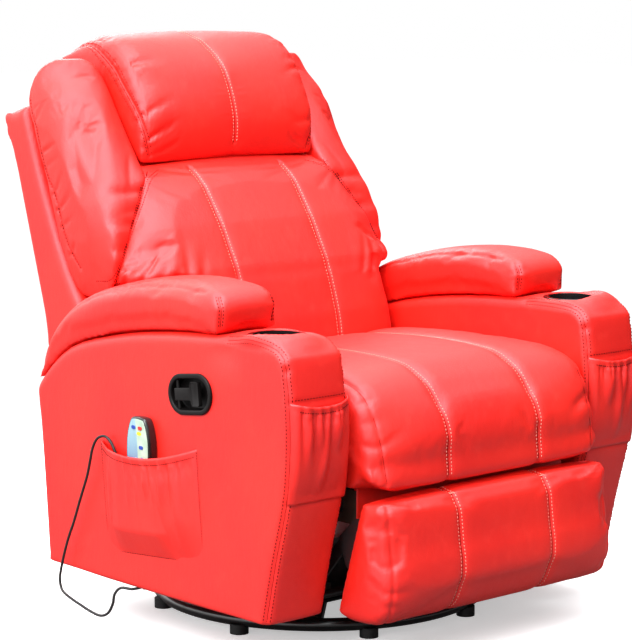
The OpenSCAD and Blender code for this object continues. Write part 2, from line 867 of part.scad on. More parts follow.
// Rear panel, tail with its two lower corners and two side panels, sewn together along their edges
module back_shell() {
    r = 20;
    cheek = 20;
    narrow = seat_half - 11;
    side = concat(
        [[-55, 215], [8, 241]],
        smooth([[6, tail_l], [0, 310], [0, 450], [0, shell_l - 18], [-6, shell_l - 5], [-18, shell_l]], 2),
        smooth([[-60, shell_l], [-69, shell_l - 12], [-72, 616], [-77, 547], [-91, 437], [-108, 360],
            [-127, 292], [-124, 272], [-82, 239]], 2)
    );
    color([0.85, 0.24, 0.2]) leaned() difference() {
        union() {
            across(side, pad_stations(shell_half, r), function(x) edge_in(x, shell_half, r));
            translate([-narrow, frame_front, 5]) cube([2 * narrow, -frame_front, tail_l - 2]);
        }
        slab(-shell_half + shell_t, shell_half - shell_t)
            polygon([[-200, tail_l], [-shell_t, tail_l], [-shell_t, shell_l - shell_t], [-200, shell_l - shell_t]]);
        translate([-narrow + cheek, -200, 20]) cube([2 * (narrow - cheek), 200 - shell_t, 300]);
        translate([-seat_half - 3, frame_front - 120, 200]) cube([2 * seat_half + 6, 120, 64]);
        both_sides() slab(shell_half - shell_t - seam_gap, shell_half - shell_t)
            translate([-300, -100]) square([600, shell_l + 200]);
        translate([-shell_half + shell_t, -200, tail_l]) cube([2 * (shell_half - shell_t), 400, seam_gap]);
        both_sides() slab(narrow, narrow + seam_gap) translate([-300, -100]) square([600, 100 + tail_l + seam_gap / 2]);
    }
}

post_w = 25;
post_z = [21, shell_l - 55];

module back_frame() {
    post_x = hinge_x - post_w;
    color([0.75, 0.6, 0.42]) leaned() {
        both_sides() translate([post_x, -shell_t - frame_d, post_z[0]]) cube([post_w, frame_d, post_z[1] - post_z[0]]);
        for (z = [post_z[0], 300, post_z[1] - 45]) {
            translate([-post_x, -shell_t - 22, z]) cube([2 * post_x, 22, 45]);
        }
        for (z = [95, 340, 420, 510, shell_l - 115]) {
            translate([-hinge_x, frame_front, z]) cube([2 * hinge_x, 2, 40]);
        }
    }
}

module back_hinge_brackets() {
    foot = [back_foot[0] - (shell_t + frame_d) * cos(lean), back_foot[1] + (shell_t + frame_d) * sin(lean)];
    up = [sin(lean), cos(lean)];
    into = [cos(lean), -sin(lean)];
    color([0.13, 0.13, 0.14]) both_sides() difference() {
        slab(hinge_x, hinge_x + mech_t) hull() {
            translate(recline_p) circle(r = lug);
            polygon([foot + 34 * up, foot + 34 * up + 40 * into, foot + 90 * up + 40 * into, foot + 90 * up]);
        }
        pin_x(hinge_x - 1, hinge_x + mech_t + 1, recline_p, recline_pin + 2 * run_gap);
    }
}

// Rows of the centre back cushion: [height, half width, front y]
back_rows = [
    [342, 268, 92], [352, 280, 66], [380, 286, 51], [430, 286, 47], [475, 286, 49], [520, 286, 57],
    [560, 286, 70], [592, 287, 81], [622, 306, 93], [650, 300, 108], [700, 276, 136], [750, 252, 172],
    [792, 231, 203], [806, 226, 227], [820, 222, 263], [850, 216, 291], [900, 210, 328], [940, 207, 372],
    [962, 204, 414]
];
// Loop of the centre cushion at height z: half width h, front y f, back y b
function back_loop(z, h, f, b) =
    let (
        r = lookup(z, [[592, 44], [650, 16], [806, 16], [820, 40]]),
        groove = [channel_x - 9, channel_x, channel_x + 9],
        half = concat([55], groove, [h - r, h - 0.4 * r, h - 0.12 * r, h]),
        front = [
            for (x = concat(-reversed(half), [0], half))
                [x, min(b - 12, f + edge_in(x, h, r) + channel_in(x) + 8 * pow(x / h, 2)), z]
        ]
    )
    concat(front, [[h, b - 6, z], [h - 6, b, z], [6 - h, b, z], [-h, b - 6, z]]);

module back_cushion() {
    color([0.93, 0.3, 0.26]) difference() {
        loft([for (q = back_rows) back_loop(q[0], q[1], q[2], back_y(q[0], seam_gap - frame_front))]);
        back_pods(1);
        heater(1);
    }
}

module back_pods(past = 0) {
    for (x = [-100, 100], z = [250, 480]) {
        leaned() translate([x, frame_front - seam_gap + past, z]) rotate([90, 0, 0])
            cylinder(h = motor_h + past, d = motor_d);
    }
}

module back_motors() {
    color([0.2, 0.2, 0.22]) back_pods();
}

module heater(past = 0) {
    leaned() translate([-62, frame_front - seam_gap - 2, 140]) cube([124, 2 + past, 150]);
}

module heating_pad() {
    color([0.25, 0.1, 0.1]) heater();
}

// Rows of a side wing: [height, inner x, outer x, front y inside, front y outside]
wing_out = shell_half - 2;
wing_rows = [
    [590, 306, wing_out - 16, 206, 214], [600, 302, wing_out - 8, 178, 186], [622, 310, wing_out - 3, 138, 152],
    [650, 304, wing_out, 124, 150], [700, 280, wing_out, 143, 172], [750, 256, wing_out, 176, 205],
    [792, 236, wing_out, 208, 236], [830, 224, wing_out, 240, 268], [870, 220, wing_out, 268, 294],
    [910, 219, wing_out, 296, 320], [945, 219, wing_out - 1, 318, 352], [975, 222, wing_out - 5, 336, 392],
    [1000, 232, wing_out - 16, 350, 404], [1011, 250, wing_out - 38, 364, 396]
];
wing_back = [[545, 271], [674, 349], [775, 395], [840, 420], [914, 446], [940, 448], [968, 440], [992, 428], [1012, 408]];

// Loop of a wing at one height: a rounded quadrilateral with a swelling front
function wing_loop(q) =
    let (
        x0 = q[1], x1 = q[2], b = lookup(q[0], wing_back) - 1,
        b_in = min(b, back_y(q[0], -frame_front) - 4),
        mid = (x0 + x1) / 2, half = (x1 - x0) / 2, steps = 7,
        inner = lookup(q[0], [[622, 26], [650, 8], [790, 8], [830, 26]])
    )
    concat(
        [for (i = [0 : steps]) let (t = i / steps, c = cos(180 * t))
            [mid - half * sign(c) * pow(abs(c), 0.6),
                min(b_in - 14, mix(q[3], q[4], (1 - c) / 2)
                    + (c > 0 ? inner : 26) * (1 - pow(sin(180 * t), 0.6)) - 8 * sin(180 * t)), q[0]]],
        [[x1, b - 12, q[0]], [x1 - 0.3 * half, b, q[0]], [x0 + 0.3 * half, b_in, q[0]], [x0, b_in - 12, q[0]]]
    );

module wing_left() {
    color([0.9, 0.27, 0.22]) loft([for (q = wing_rows) wing_loop(q)]);
}

module wing_right() {
    mirror([1, 0, 0]) wing_left();
}

// Head pillow: draped over the top of the back, drawn together at its ends
pillow_outline = concat(
    smooth([[248, 815], [260, 822], [287, 850], [324, 900], [368, 942], [412, 965], [455, 987], [498, 1000]], 1),
    smooth([[508, 1010], [494, 1024], [460, 1042], [420, 1053], [370, 1058], [330, 1051], [296, 1028],
        [272, 1001], [252, 967], [237, 939], [225, 905], [222, 876], [226, 848], [234, 826]], 2)
);
pillow_round = 34;

module head_pillow() {
    lips = [pillow_outline[0], [503, 1006]];
    color([0.95, 0.34, 0.3]) across(
        pillow_outline, pad_stations(pillow_half, pillow_round, [-0.5 * pillow_half, 0, 0.5 * pillow_half]),
        function(x) 0.8 * edge_in(x, pillow_half, pillow_round) + 6 * pow(x / pillow_half, 4) + (x == 0 ? 2 : 0), 9,
        function(p) 5 + 0.35 * min(norm(p - lips[0]), norm(p - lips[1])));
}

// ---------------------------------------------------------------- footrest

// Plane of the footrest's back, from its top corner to its bottom corner
foot_top = [-443, 288];
foot_bottom = [-383, 90];
foot_dir = (foot_bottom - foot_top) / norm(foot_bottom - foot_top);
foot_out = [foot_dir[1], -foot_dir[0]];
foot_half = bracket_x + link_t;

// Link between the pivots a and b at the distance x from the middle
module link(x, a, b, bores) {
    both_sides() difference() {
        slab(x, x + link_t) {
            hull() {
                translate(a) circle(d = link_h);
                translate(b) circle(d = link_h);
            }
        }
        for (q = bores) {
            pin_x(x - 1, x + link_t + 1, q, link_pin + 2 * run_gap);
        }
    }
}

module footrest_rear_links() {
    color([0.13, 0.13, 0.14]) {
        link(link1_x, p0, p1, [p0]);
        both_sides() pin_x(link1_x + link_t / 2, link2_x + link_t, p1, link_pin);
        pin_x(-link1_x, link1_x, p1, link_h - 4);
    }
}

module footrest_front_links() {
    color([0.13, 0.13, 0.14]) {
        link(link2_x, p1, p2, [p1]);
        both_sides() pin_x(link2_x + link_t / 2, bracket_x + link_t, p2, link_pin);
    }
}

foot_board_shape = [foot_top, foot_top + foot_board_t * foot_out, foot_bottom + foot_board_t * foot_out, foot_bottom];

module footrest_board() {
    color([0.75, 0.6, 0.42]) slab(-foot_half, foot_half) polygon(foot_board_shape);
}

module footrest_brackets() {
    color([0.13, 0.13, 0.14]) both_sides() difference() {
        slab(bracket_x, bracket_x + link_t) difference() {
            hull() {
                translate(p2) circle(d = link_h);
                translate(p2 + [-38, 26]) circle(d = 36);
                translate(p2 + [-22, -34]) circle(d = 30);
            }
            polygon([
                foot_top, foot_top + 80 * foot_out - 40 * foot_dir,
                foot_bottom + 80 * foot_out + 40 * foot_dir, foot_bottom
            ]);
        }
        pin_x(bracket_x - 1, bracket_x + link_t + 1, p2, link_pin + 2 * run_gap);
    }
}

// Footrest pad wrapped over the top and round the bottom of its board
module footrest_cushion() {
    r = 30;
    front = foot_board_t + seam_gap;
    rear_side = [foot_bottom + front * foot_out, foot_top + front * foot_out];
    crown = smooth([
        [-456, 291], [-466, 293], [-480, 282], [-496, 254], [-509, 214], [-515, 179], [-516, 142],
        [-509, 108], [-494, 84], [-470, 72], [-430, 69], [-399, 71], [-386, 79]
    ], 2);
    color([0.93, 0.3, 0.26]) difference() {
        across(concat(rear_side, crown),
            pad_stations(seat_half - 2, r, concat(-reversed(seat_stations), [0], seat_stations)),
            function(x) edge_in(x, seat_half - 2, r) * 0.6 + channel_in(x) + 8 * pow(x / seat_half, 4), 2);
        leg_pods(1);
    }
}

module leg_pods(past = 0) {
    at = mix(foot_top, foot_bottom, 0.5) + (foot_board_t + seam_gap - past) * foot_out;
    for (x = [-110, 110]) {
        translate([x, at[0], at[1]]) rotate([atan2(-foot_out[0], foot_out[1]), 0, 0])
            cylinder(h = motor_h - 4 + past, d = motor_d - 6);
    }
}

module leg_motors() {
    color([0.2, 0.2, 0.22]) leg_pods();
}

// ---------------------------------------------------------------- hand control

remote_side = smooth([for (q = [
    [0, 0], [0.38, 0.006], [0.6, 0.03], [0.82, 0.12], [0.97, 0.25], [1, 0.4], [0.955, 0.57],
    [0.82, 0.75], [0.62, 0.9], [0.4, 0.975], [0.2, 1], [0, 1]
]) [q[0] * remote_half, -q[1] * remote_l]], 2);
remote_outline = [
    for (q = concat([for (p = remote_side) [-p[0], p[1]]], reversed([for (i = [1 : len(remote_side) - 2]) remote_side[i]])))
        [remote_y + q[0], remote_top + q[1]]
];
face_x = remote_x - remote_t / 2;

module remote_case_back() {
    color([0.08, 0.08, 0.08]) difference() {
        slab(remote_x, remote_x + remote_t / 2) polygon(remote_outline);
        slab(remote_x - 1, remote_x + remote_t / 2 - case_t) polygon(drawn_in(remote_outline, case_t));
    }
}

// Buttons of the hand control: [distance to the front, drop from its top, length, height]
buttons = [
    [-9.6, 20, 11, 6.3], [8.6, 20, 11, 6.3], [11.4, 54, 11, 6.3],
    [13.6, 75, zone_d, zone_d], [13.1, 87, zone_d, zone_d], [12.6, 99, zone_d, zone_d], [11.1, 111, zone_d, zone_d]
];
button_fit = 0.3;

// Stadium along X at button k, larger all round by extra
module button_shape(k, x0, x1, extra) {
    b = buttons[k];
    translate([0, remote_y - b[0], remote_top - b[1]]) slab(x0, x1) stadium(b[2] + 2 * extra, b[3] + 2 * extra);
}

module remote_case_front() {
    color([0.85, 0.87, 0.9]) difference() {
        union() {
            slab(face_x, face_x + 2) polygon(drawn_in(remote_outline, 1));
            slab(face_x + 1, remote_x) polygon(remote_outline);
        }
        slab(face_x + case_t, remote_x + 1) polygon(drawn_in(remote_outline, case_t));
        for (k = [0 : 6]) {
            button_shape(k, face_x - 1, face_x + case_t + 1, button_fit);
        }
    }
}

module button(k, tint) {
    color(tint) {
        button_shape(k, face_x - 1.2, face_x + case_t + 1, 0);
        button_shape(k, face_x + case_t + 0.2, face_x + case_t + 1.4, 1.2);
    }
}

module remote_strain_relief() {
    ribs = 4;
    pitch = relief_l / ribs;
    color([0.07, 0.07, 0.07]) translate([remote_x, remote_y, remote_top - remote_l - relief_l - seam_gap]) rotate_extrude()
        difference() {
            polygon([[0, 0], [cord_d / 2 + 1, 0], [cord_d / 2 + 2.5, relief_l], [0, relief_l]]);
            for (k = [1 : ribs - 1]) {
                translate([cord_d / 2 + 1, k * pitch - 0.8]) square([3, 1.6]);
            }
        }
}

base_ring();
base_cross_bars();
base_glides();
swivel_lower_plate();
swivel_bearing_balls();
swivel_pivot_bolt();
swivel_upper_plate();
rocker_blocks();
rocker_springs();
rocker_cams();
frame_cross_tubes();
seat_guide_rails();
arm_frame_right();
arm_frame_left();
arm_cover_right();
arm_cover_left();
arm_pad_right();
arm_pad_left();
cup_holder_right();
cup_holder_left();
front_pocket_right();
front_pocket_left();
side_pocket_right();
side_pocket_left();
lever_bezel();
control_box();
cord_clip();
rear_valance();
remote_cord();
seat_frame();
seat_springs();
seat_cushion();
thigh_motors();
seat_mech_plates();
back_frame();
back_shell();
back_cushion();
wing_right();
wing_left();
head_pillow();
back_motors();
heating_pad();
back_hinge_brackets();
footrest_rear_links();
footrest_front_links();
footrest_board();
footrest_cushion();
footrest_brackets();
leg_motors();
release_lever();
remote_case_back();
remote_case_front();
remote_strain_relief();
button(0, [0.1, 0.2, 0.7]);  // power_button
button(1, [0.8, 0.1, 0.1]);  // heat_button
button(2, [0.1, 0.2, 0.7]);  // mode_button
button(3, [0.1, 0.2, 0.7]);  // zone_button_1
button(4, [0.1, 0.2, 0.7]);  // zone_button_2
button(5, [0.1, 0.2, 0.7]);  // zone_button_3
button(6, [0.1, 0.2, 0.7]);  // zone_button_4
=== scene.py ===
"""Upholstered swivel rocker recliner with a corded hand control."""
import math

import bpy
import bmesh
import numpy as np
from mathutils import Vector, Matrix
from mathutils.bvhtree import BVHTree
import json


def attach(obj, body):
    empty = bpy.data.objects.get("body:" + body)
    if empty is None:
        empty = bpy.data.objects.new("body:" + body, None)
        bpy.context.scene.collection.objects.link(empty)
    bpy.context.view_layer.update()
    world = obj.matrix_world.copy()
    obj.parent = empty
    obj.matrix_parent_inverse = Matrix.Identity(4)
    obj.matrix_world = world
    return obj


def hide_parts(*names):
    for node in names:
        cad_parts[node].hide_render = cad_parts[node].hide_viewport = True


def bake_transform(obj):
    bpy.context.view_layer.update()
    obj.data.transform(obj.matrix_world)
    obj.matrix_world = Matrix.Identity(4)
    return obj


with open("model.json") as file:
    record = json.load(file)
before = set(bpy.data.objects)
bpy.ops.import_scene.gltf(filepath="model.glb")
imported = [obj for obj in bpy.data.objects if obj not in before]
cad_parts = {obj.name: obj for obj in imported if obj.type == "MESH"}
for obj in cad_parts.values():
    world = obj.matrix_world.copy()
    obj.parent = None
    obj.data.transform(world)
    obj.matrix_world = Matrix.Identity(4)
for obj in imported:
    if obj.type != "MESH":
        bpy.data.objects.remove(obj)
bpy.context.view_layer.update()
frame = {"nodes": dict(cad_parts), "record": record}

# Lengths are in millimetres, and MM turns them into metres where a mesh or a call takes them.
MM = 0.001

# Sizes that more than one section uses
arm_out, arm_in = 431, 295                      # outer and inner face of an arm, from the middle
arm_x, arm_half = 363, 68                       # middle and half width of an arm
deck = 567                                      # top of an arm behind its cup
channel_x = 112                                 # middle of a sewn channel
control_at, control_top = (-443, -47), 404      # place [x, y] of the hand control, and its top
control_long, control_half = 166, 34


def clear_selection():
    bpy.ops.object.select_all(action="DESELECT")


def pick(piece):
    """Make it the only piece selected, and the active one."""
    clear_selection()
    piece.select_set(True)
    bpy.context.view_layer.objects.active = piece


def curve(points, steps):
    """Smooth curve through the points, with a number of steps to each stretch."""
    p = np.array(points, float)
    out = []
    for i in range(len(p) - 1):
        a, b, c, d = p[max(i - 1, 0)], p[i], p[i + 1], p[min(i + 2, len(p) - 1)]
        for t in np.arange(steps) / steps:
            out.append(0.5 * (2 * b + (c - a) * t + (2 * a - 5 * b + 4 * c - d) * t ** 2
                              + (3 * b - a - 3 * c + d) * t ** 3))
    out.append(p[-1])
    return np.array(out)


def rise(x, a, b):
    """0 at a and before it, 1 at b and past it, smooth between; b may be below a."""
    t = np.clip((x - a) / (b - a), 0, 1)
    return t * t * (3 - 2 * t)


def bump_at(x, centre, width):
    """Bell of height 1 round the centre."""
    return np.exp(-((x - centre) / width) ** 2)


# ------------------------------------------------------------------ camera

target = Vector((-30.2, -42.6, 534.0)) * MM
azimuth, elevation, distance = math.radians(-41.55), math.radians(8.17), 4525.4 * MM
camera = bpy.data.objects.new("camera", bpy.data.cameras.new("camera"))
camera.data.lens = 137.02
camera.data.sensor_width = 36
camera.location = target + distance * Vector((
    math.cos(elevation) * math.sin(azimuth), -math.cos(elevation) * math.cos(azimuth), math.sin(elevation)))
camera.rotation_euler = (target - camera.location).to_track_quat("-Z", "Y").to_euler()
bpy.context.scene.collection.objects.link(camera)
bpy.context.scene.camera = camera

# ------------------------------------------------------------------ materials


class Value:
    """One number of a material, worked out from other sockets by Math nodes."""

    def __init__(self, maker, socket):
        self.maker, self.socket = maker, socket

    def math(self, operation, *others):
        return self.maker.arithmetic(operation, self, *others)

    def __add__(self, other):
        return self.math("ADD", other)

    def __radd__(self, other):
        return self.math("ADD", other)

    def __sub__(self, other):
        return self.math("SUBTRACT", other)

    def __rsub__(self, other):
        return self.maker.arithmetic("SUBTRACT", other, self)

    def __mul__(self, other):
        return self.math("MULTIPLY", other)

    def __rmul__(self, other):
        return self.math("MULTIPLY", other)

    def __truediv__(self, other):
        return self.math("DIVIDE", other)

    def __pow__(self, other):
        return self.math("POWER", other)

    def __lt__(self, other):
        return self.math("LESS_THAN", other)

    def between(self, low, high):
        """0 below low and 1 above high, smooth between."""
        return self.maker.node("ShaderNodeMapRange", {"interpolation_type": "SMOOTHSTEP"},
                               {"Value": self, "From Min": low, "From Max": high})["Result"]


class Nodes:
    """A node tree with short ways to add what the finishes and the studio need."""

    def __init__(self, tree):
        self.tree = tree
        tree.nodes.clear()

    def feed(self, slot, part):
        if isinstance(part, Value):
            self.tree.links.new(part.socket, slot)
        elif slot.type == "RGBA" and len(part) == 3:
            slot.default_value = (*part, 1)
        else:
            slot.default_value = part

    def arithmetic(self, operation, *parts):
        node = self.tree.nodes.new("ShaderNodeMath")
        node.operation = operation
        for slot, part in zip(node.inputs, parts):
            self.feed(slot, part)
        return Value(self, node.outputs[0])

    def node(self, kind, settings=None, sockets=None):
        """Node of that kind; returns its outputs by name."""
        node = self.tree.nodes.new(kind)
        for key, value in (settings or {}).items():
            setattr(node, key, value)
        for key, part in (sockets or {}).items():
            self.feed(node.inputs[key], part)
        return {out.name: Value(self, out) for out in node.outputs if out.enabled}

    def mix(self, amount, a, b):
        node = self.tree.nodes.new("ShaderNodeMix")
        node.data_type = "RGBA"
        for slot, part in zip((0, 6, 7), (amount, a, b)):
            self.feed(node.inputs[slot], part)
        return Value(self, node.outputs[2])


class Finish(Nodes):
    """A material with one Principled shader."""

    def __init__(self, name, **settings):
        self.material = bpy.data.materials.new(name)
        self.material.use_nodes = True
        super().__init__(self.material.node_tree)
        self.shader = self.tree.nodes.new("ShaderNodeBsdfPrincipled")
        output = self.tree.nodes.new("ShaderNodeOutputMaterial")
        self.tree.links.new(self.shader.outputs[0], output.inputs[0])
        for key, value in settings.items():
            self.set(key.replace("_", " "), value)

    def set(self, name, part):
        self.feed(self.shader.inputs[name], part)

    def axes(self):
        place = self.node("ShaderNodeTexCoord")["Object"]
        parts = self.node("ShaderNodeSeparateXYZ", sockets={0: place})
        return parts["X"], parts["Y"], parts["Z"]

    def noise(self, scale, detail=2.0, rough=0.5, stretch=(1, 1, 1)):
        place = self.node("ShaderNodeTexCoord")["Object"]
        at = self.node("ShaderNodeMapping", sockets={"Vector": place, "Scale": stretch})["Vector"]
        return self.node("ShaderNodeTexNoise", sockets={
            "Vector": at, "Scale": scale, "Detail": detail, "Roughness": rough})["Fac"]

    def cells(self, scale):
        place = self.node("ShaderNodeTexCoord")["Object"]
        return self.node("ShaderNodeTexVoronoi", sockets={"Vector": place, "Scale": scale})["Distance"]

    def relief(self, height, strength, depth, under=None):
        sockets = {"Height": height, "Strength": strength, "Distance": depth}
        if under is not None:
            sockets["Normal"] = under
        return self.node("ShaderNodeBump", sockets=sockets)["Normal"]


def srgb(r, g, b):
    return tuple(c / 255 / 12.92 if c <= 10 else ((c / 255 + 0.055) / 1.055) ** 2.4 for c in (r, g, b))


def leather(name, tone, deep, pale):
    """Bonded leather: pebble grain, fine creases and a slightly uneven gloss."""
    f = Finish(name, Specular_Tint=(1, 0.86, 1), Specular_IOR_Level=0.75)
    drift = f.noise(5, 3)
    patch = f.noise(38, 2)
    grain = f.cells(620)
    pores = f.noise(1500, 2)
    crease = f.noise(75, 4, 0.62, (1, 1, 0.35))
    mottle = f.mix(drift.between(0.35, 0.7), deep, tone)
    worn = f.mix(patch.between(0.55, 0.8) * 0.3, mottle, pale)
    f.set("Base Color", f.mix(grain.between(0.5, 0.9) * 0.25, worn, deep))
    f.set("Roughness", 0.40 + 0.1 * patch + 0.1 * grain)
    pebbled = f.relief(1 - grain + 0.4 * pores, 0.3, 0.0005)
    f.set("Normal", f.relief(crease, 0.2, 0.003, pebbled))
    return f.material


red_leather = leather("red_leather", srgb(234, 31, 11), srgb(224, 23, 6), srgb(241, 48, 30))


def plastic(name, tone, rough, speck=0.05, gloss=0.0, shine=0.5):
    """Moulded plastic: a fine speckle, and scuffs that are a little paler and rougher."""
    f = Finish(name, Specular_IOR_Level=shine, Coat_Weight=gloss, Coat_Roughness=0.08)
    wear = f.noise(30, 3)
    fine = f.noise(900, 2)
    scuffed = tuple(min(1, c * 1.6 + 0.008) for c in tone)
    f.set("Base Color", f.mix(wear.between(0.45, 0.75) * 0.3, tone, scuffed))
    f.set("Roughness", rough + 0.12 * (wear - 0.5))
    f.set("Normal", f.relief(fine, speck, 0.0004))
    return f.material


def metal(name, tone, rough, brushed=(1, 1, 1), painted=False):
    """Bare metal with fine lines, drawn out along the axes that brushed makes small, or painted metal."""
    f = Finish(name, Metallic=0.0 if painted else 1.0, Coat_Weight=0.5 if painted else 0.0,
               Coat_Roughness=0.12)
    wear = f.noise(22, 4)
    lines = f.noise(260, 2, 0.5, brushed)
    worn = tuple(min(1, c * 1.5 + 0.01) for c in tone)
    f.set("Base Color", f.mix(wear.between(0.4, 0.75) * 0.4, tone, worn))
    f.set("Roughness", rough + 0.15 * (lines - 0.5))
    f.set("Normal", f.relief(lines, 0.08, 0.0005))
    return f.material


def timber(name, tone, deep):
    """Plain board with its grain along Y."""
    f = Finish(name)
    rings = f.noise(18, 4, 0.6, (1, 0.12, 1))
    fibre = f.noise(320, 2, 0.5, (1, 0.06, 1))
    f.set("Base Color", f.mix(rings.between(0.35, 0.7), tone, deep))
    f.set("Roughness", 0.6 + 0.2 * fibre)
    f.set("Normal", f.relief(fibre, 0.3, 0.0006))
    return f.material


gloss_black = plastic("gloss_black", srgb(20, 20, 21), 0.22, 0.03, 0.4)
matte_black = plastic("matte_black", srgb(26, 26, 27), 0.5, 0.2)
black_tube = metal("black_tube", srgb(14, 14, 15), 0.24, painted=True)
black_steel = metal("black_steel", srgb(17, 17, 18), 0.5, painted=True)
zinc = metal("zinc", srgb(170, 170, 176), 0.32, (1, 1, 0.2))
board = timber("board", srgb(62, 44, 32), srgb(44, 31, 23))
blue_button = plastic("blue_button", srgb(24, 60, 160), 0.3, 0.02, 0.3)
red_button = plastic("red_button", srgb(205, 32, 36), 0.3, 0.02, 0.3)
lever_black = plastic("lever_black", srgb(15, 12, 12), 0.45, 0.05, 0.0, 0.2)


def printed_film():
    """Pale film with a blue field down one side, a yellow spot and a column of pale dots."""
    f = Finish("face_film", Coat_Weight=0.3, Coat_Roughness=0.08)
    _, y, z = f.axes()
    half_long = control_long / 2
    across_it = (control_at[1] * MM - y) / (control_half * MM)
    up_it = (z - (control_top - half_long) * MM) / (half_long * MM)
    field = (0.06 - across_it - 0.25 * up_it * up_it).between(0.0, 0.03)
    blue = f.mix((up_it + 1.0).between(0.2, 1.9), srgb(34, 56, 140), srgb(150, 184, 196))
    pale = f.mix(f.noise(60, 2).between(0.3, 0.7), srgb(168, 190, 170), srgb(186, 204, 186))
    colour = f.mix(field, pale, blue)
    spot_drop, dot_drops = 30, (75, 87, 99, 111)
    spot_z = (control_top - spot_drop) * MM
    spot = (((across_it - 0.16) / 0.2) ** 2 + ((z - spot_z) / 0.0034) ** 2) < 1.0
    colour = f.mix(spot, colour, srgb(214, 212, 40))
    for drop in dot_drops:
        dot_z = (control_top - drop) * MM
        away = ((across_it + 0.12) ** 2 + ((z - dot_z) / (control_half * MM)) ** 2) ** 0.5
        colour = f.mix(away < 0.05, colour, srgb(232, 238, 248))
    f.set("Base Color", colour)
    f.set("Roughness", 0.22 + 0.08 * f.noise(300, 2))
    return f.material


face_film = printed_film()
felt = plastic("felt", srgb(90, 44, 42), 0.9, 0.5)
cord_rubber = plastic("cord_rubber", srgb(16, 16, 17), 0.45, 0.1)


def thread(name, tone, shine=0.3):
    """Twisted thread, with painted shade between its strands."""
    f = Finish(name, Roughness=0.7, Specular_IOR_Level=shine)
    strand_shade = f.noise(900, 2)
    f.set("Base Color", f.mix(strand_shade.between(0.3, 0.7), tone, tuple(0.7 * c for c in tone)))
    return f.material


# The crease tone is painted shade: a dark matte strip laid along the bottom of deep seams and the pocket's
# edge, where shade falls.
threads = {
    "crease": thread("painted_seam_shade", srgb(136, 8, 5), 0.0),
    "pale": thread("pale_thread", srgb(255, 168, 152)),
    "dark": thread("dark_thread", srgb(96, 8, 8), 0.1),
}

finish_of_slot = {
    "leather": red_leather, "piping_cloth": red_leather, "board": board, "black_tube": black_tube,
    "black_steel": black_steel, "zinc": zinc, "black_plastic": gloss_black, "matte_black": matte_black,
    "remote_face": face_film, "button_blue": blue_button, "button_red": red_button, "cord": cord_rubber,
    "heater": felt,
}
slot_of_node = {row["node"]: row["material_slot"] for row in frame["record"]["subparts"]}
for node, piece in frame["nodes"].items():
    piece.data.materials.clear()
    piece.data.materials.append(finish_of_slot[slot_of_node[node]])

# ------------------------------------------------------------------ soft pieces


def mesh_piece(name, points, faces, material):
    """New piece from points in millimetres."""
    mesh = bpy.data.meshes.new(name)
    mesh.from_pydata([tuple(p) for p in np.asarray(points) * MM], [], faces)
    mesh.validate()
    piece = bpy.data.objects.new(name, mesh)
    bpy.context.scene.collection.objects.link(piece)
    mesh.materials.append(material)
    return piece


def loft(name, rings, material=red_leather):
    """Closed form through rings of equal length, its ends closed from their middles."""
    rings = np.asarray(rings, float)
    m, n = rings.shape[:2]
    points = [*rings.reshape(-1, 3), rings[0].mean(axis=0), rings[-1].mean(axis=0)]
    faces = [(i * n + j, i * n + (j + 1) % n, (i + 1) * n + (j + 1) % n, (i + 1) * n + j)
             for i in range(m - 1) for j in range(n)]
    faces += [((j + 1) % n, j, m * n) for j in range(n)]
    faces += [((m - 1) * n + j, (m - 1) * n + (j + 1) % n, m * n + 1) for j in range(n)]
    piece = mesh_piece(name, points, faces, material)
    outward(piece)
    return piece


def outward(piece):
    """Turn its faces outwards."""
    pick(piece)
    bpy.ops.object.mode_set(mode="EDIT")
    bpy.ops.mesh.select_all(action="SELECT")
    bpy.ops.mesh.normals_make_consistent(inside=False)
    bpy.ops.object.mode_set(mode="OBJECT")


def modify(piece, kind, **settings):
    """Add a modifier and apply it."""
    pick(piece)
    bpy.ops.object.modifier_add(type=kind)
    modifier = piece.modifiers[-1]
    for key, value in settings.items():
        setattr(modifier, key, value)
    bpy.ops.object.modifier_apply(modifier=modifier.name)


def even(piece, size, smooth):
    """Even skin of square faces with sides of that size, smoothed that many times."""
    modify(piece, "REMESH", mode="VOXEL", voxel_size=size * MM)
    modify(piece, "SMOOTH", factor=0.5, iterations=smooth)


def smooth_look(piece):
    piece.data.polygons.foreach_set("use_smooth", [True] * len(piece.data.polygons))
    piece.data.update()


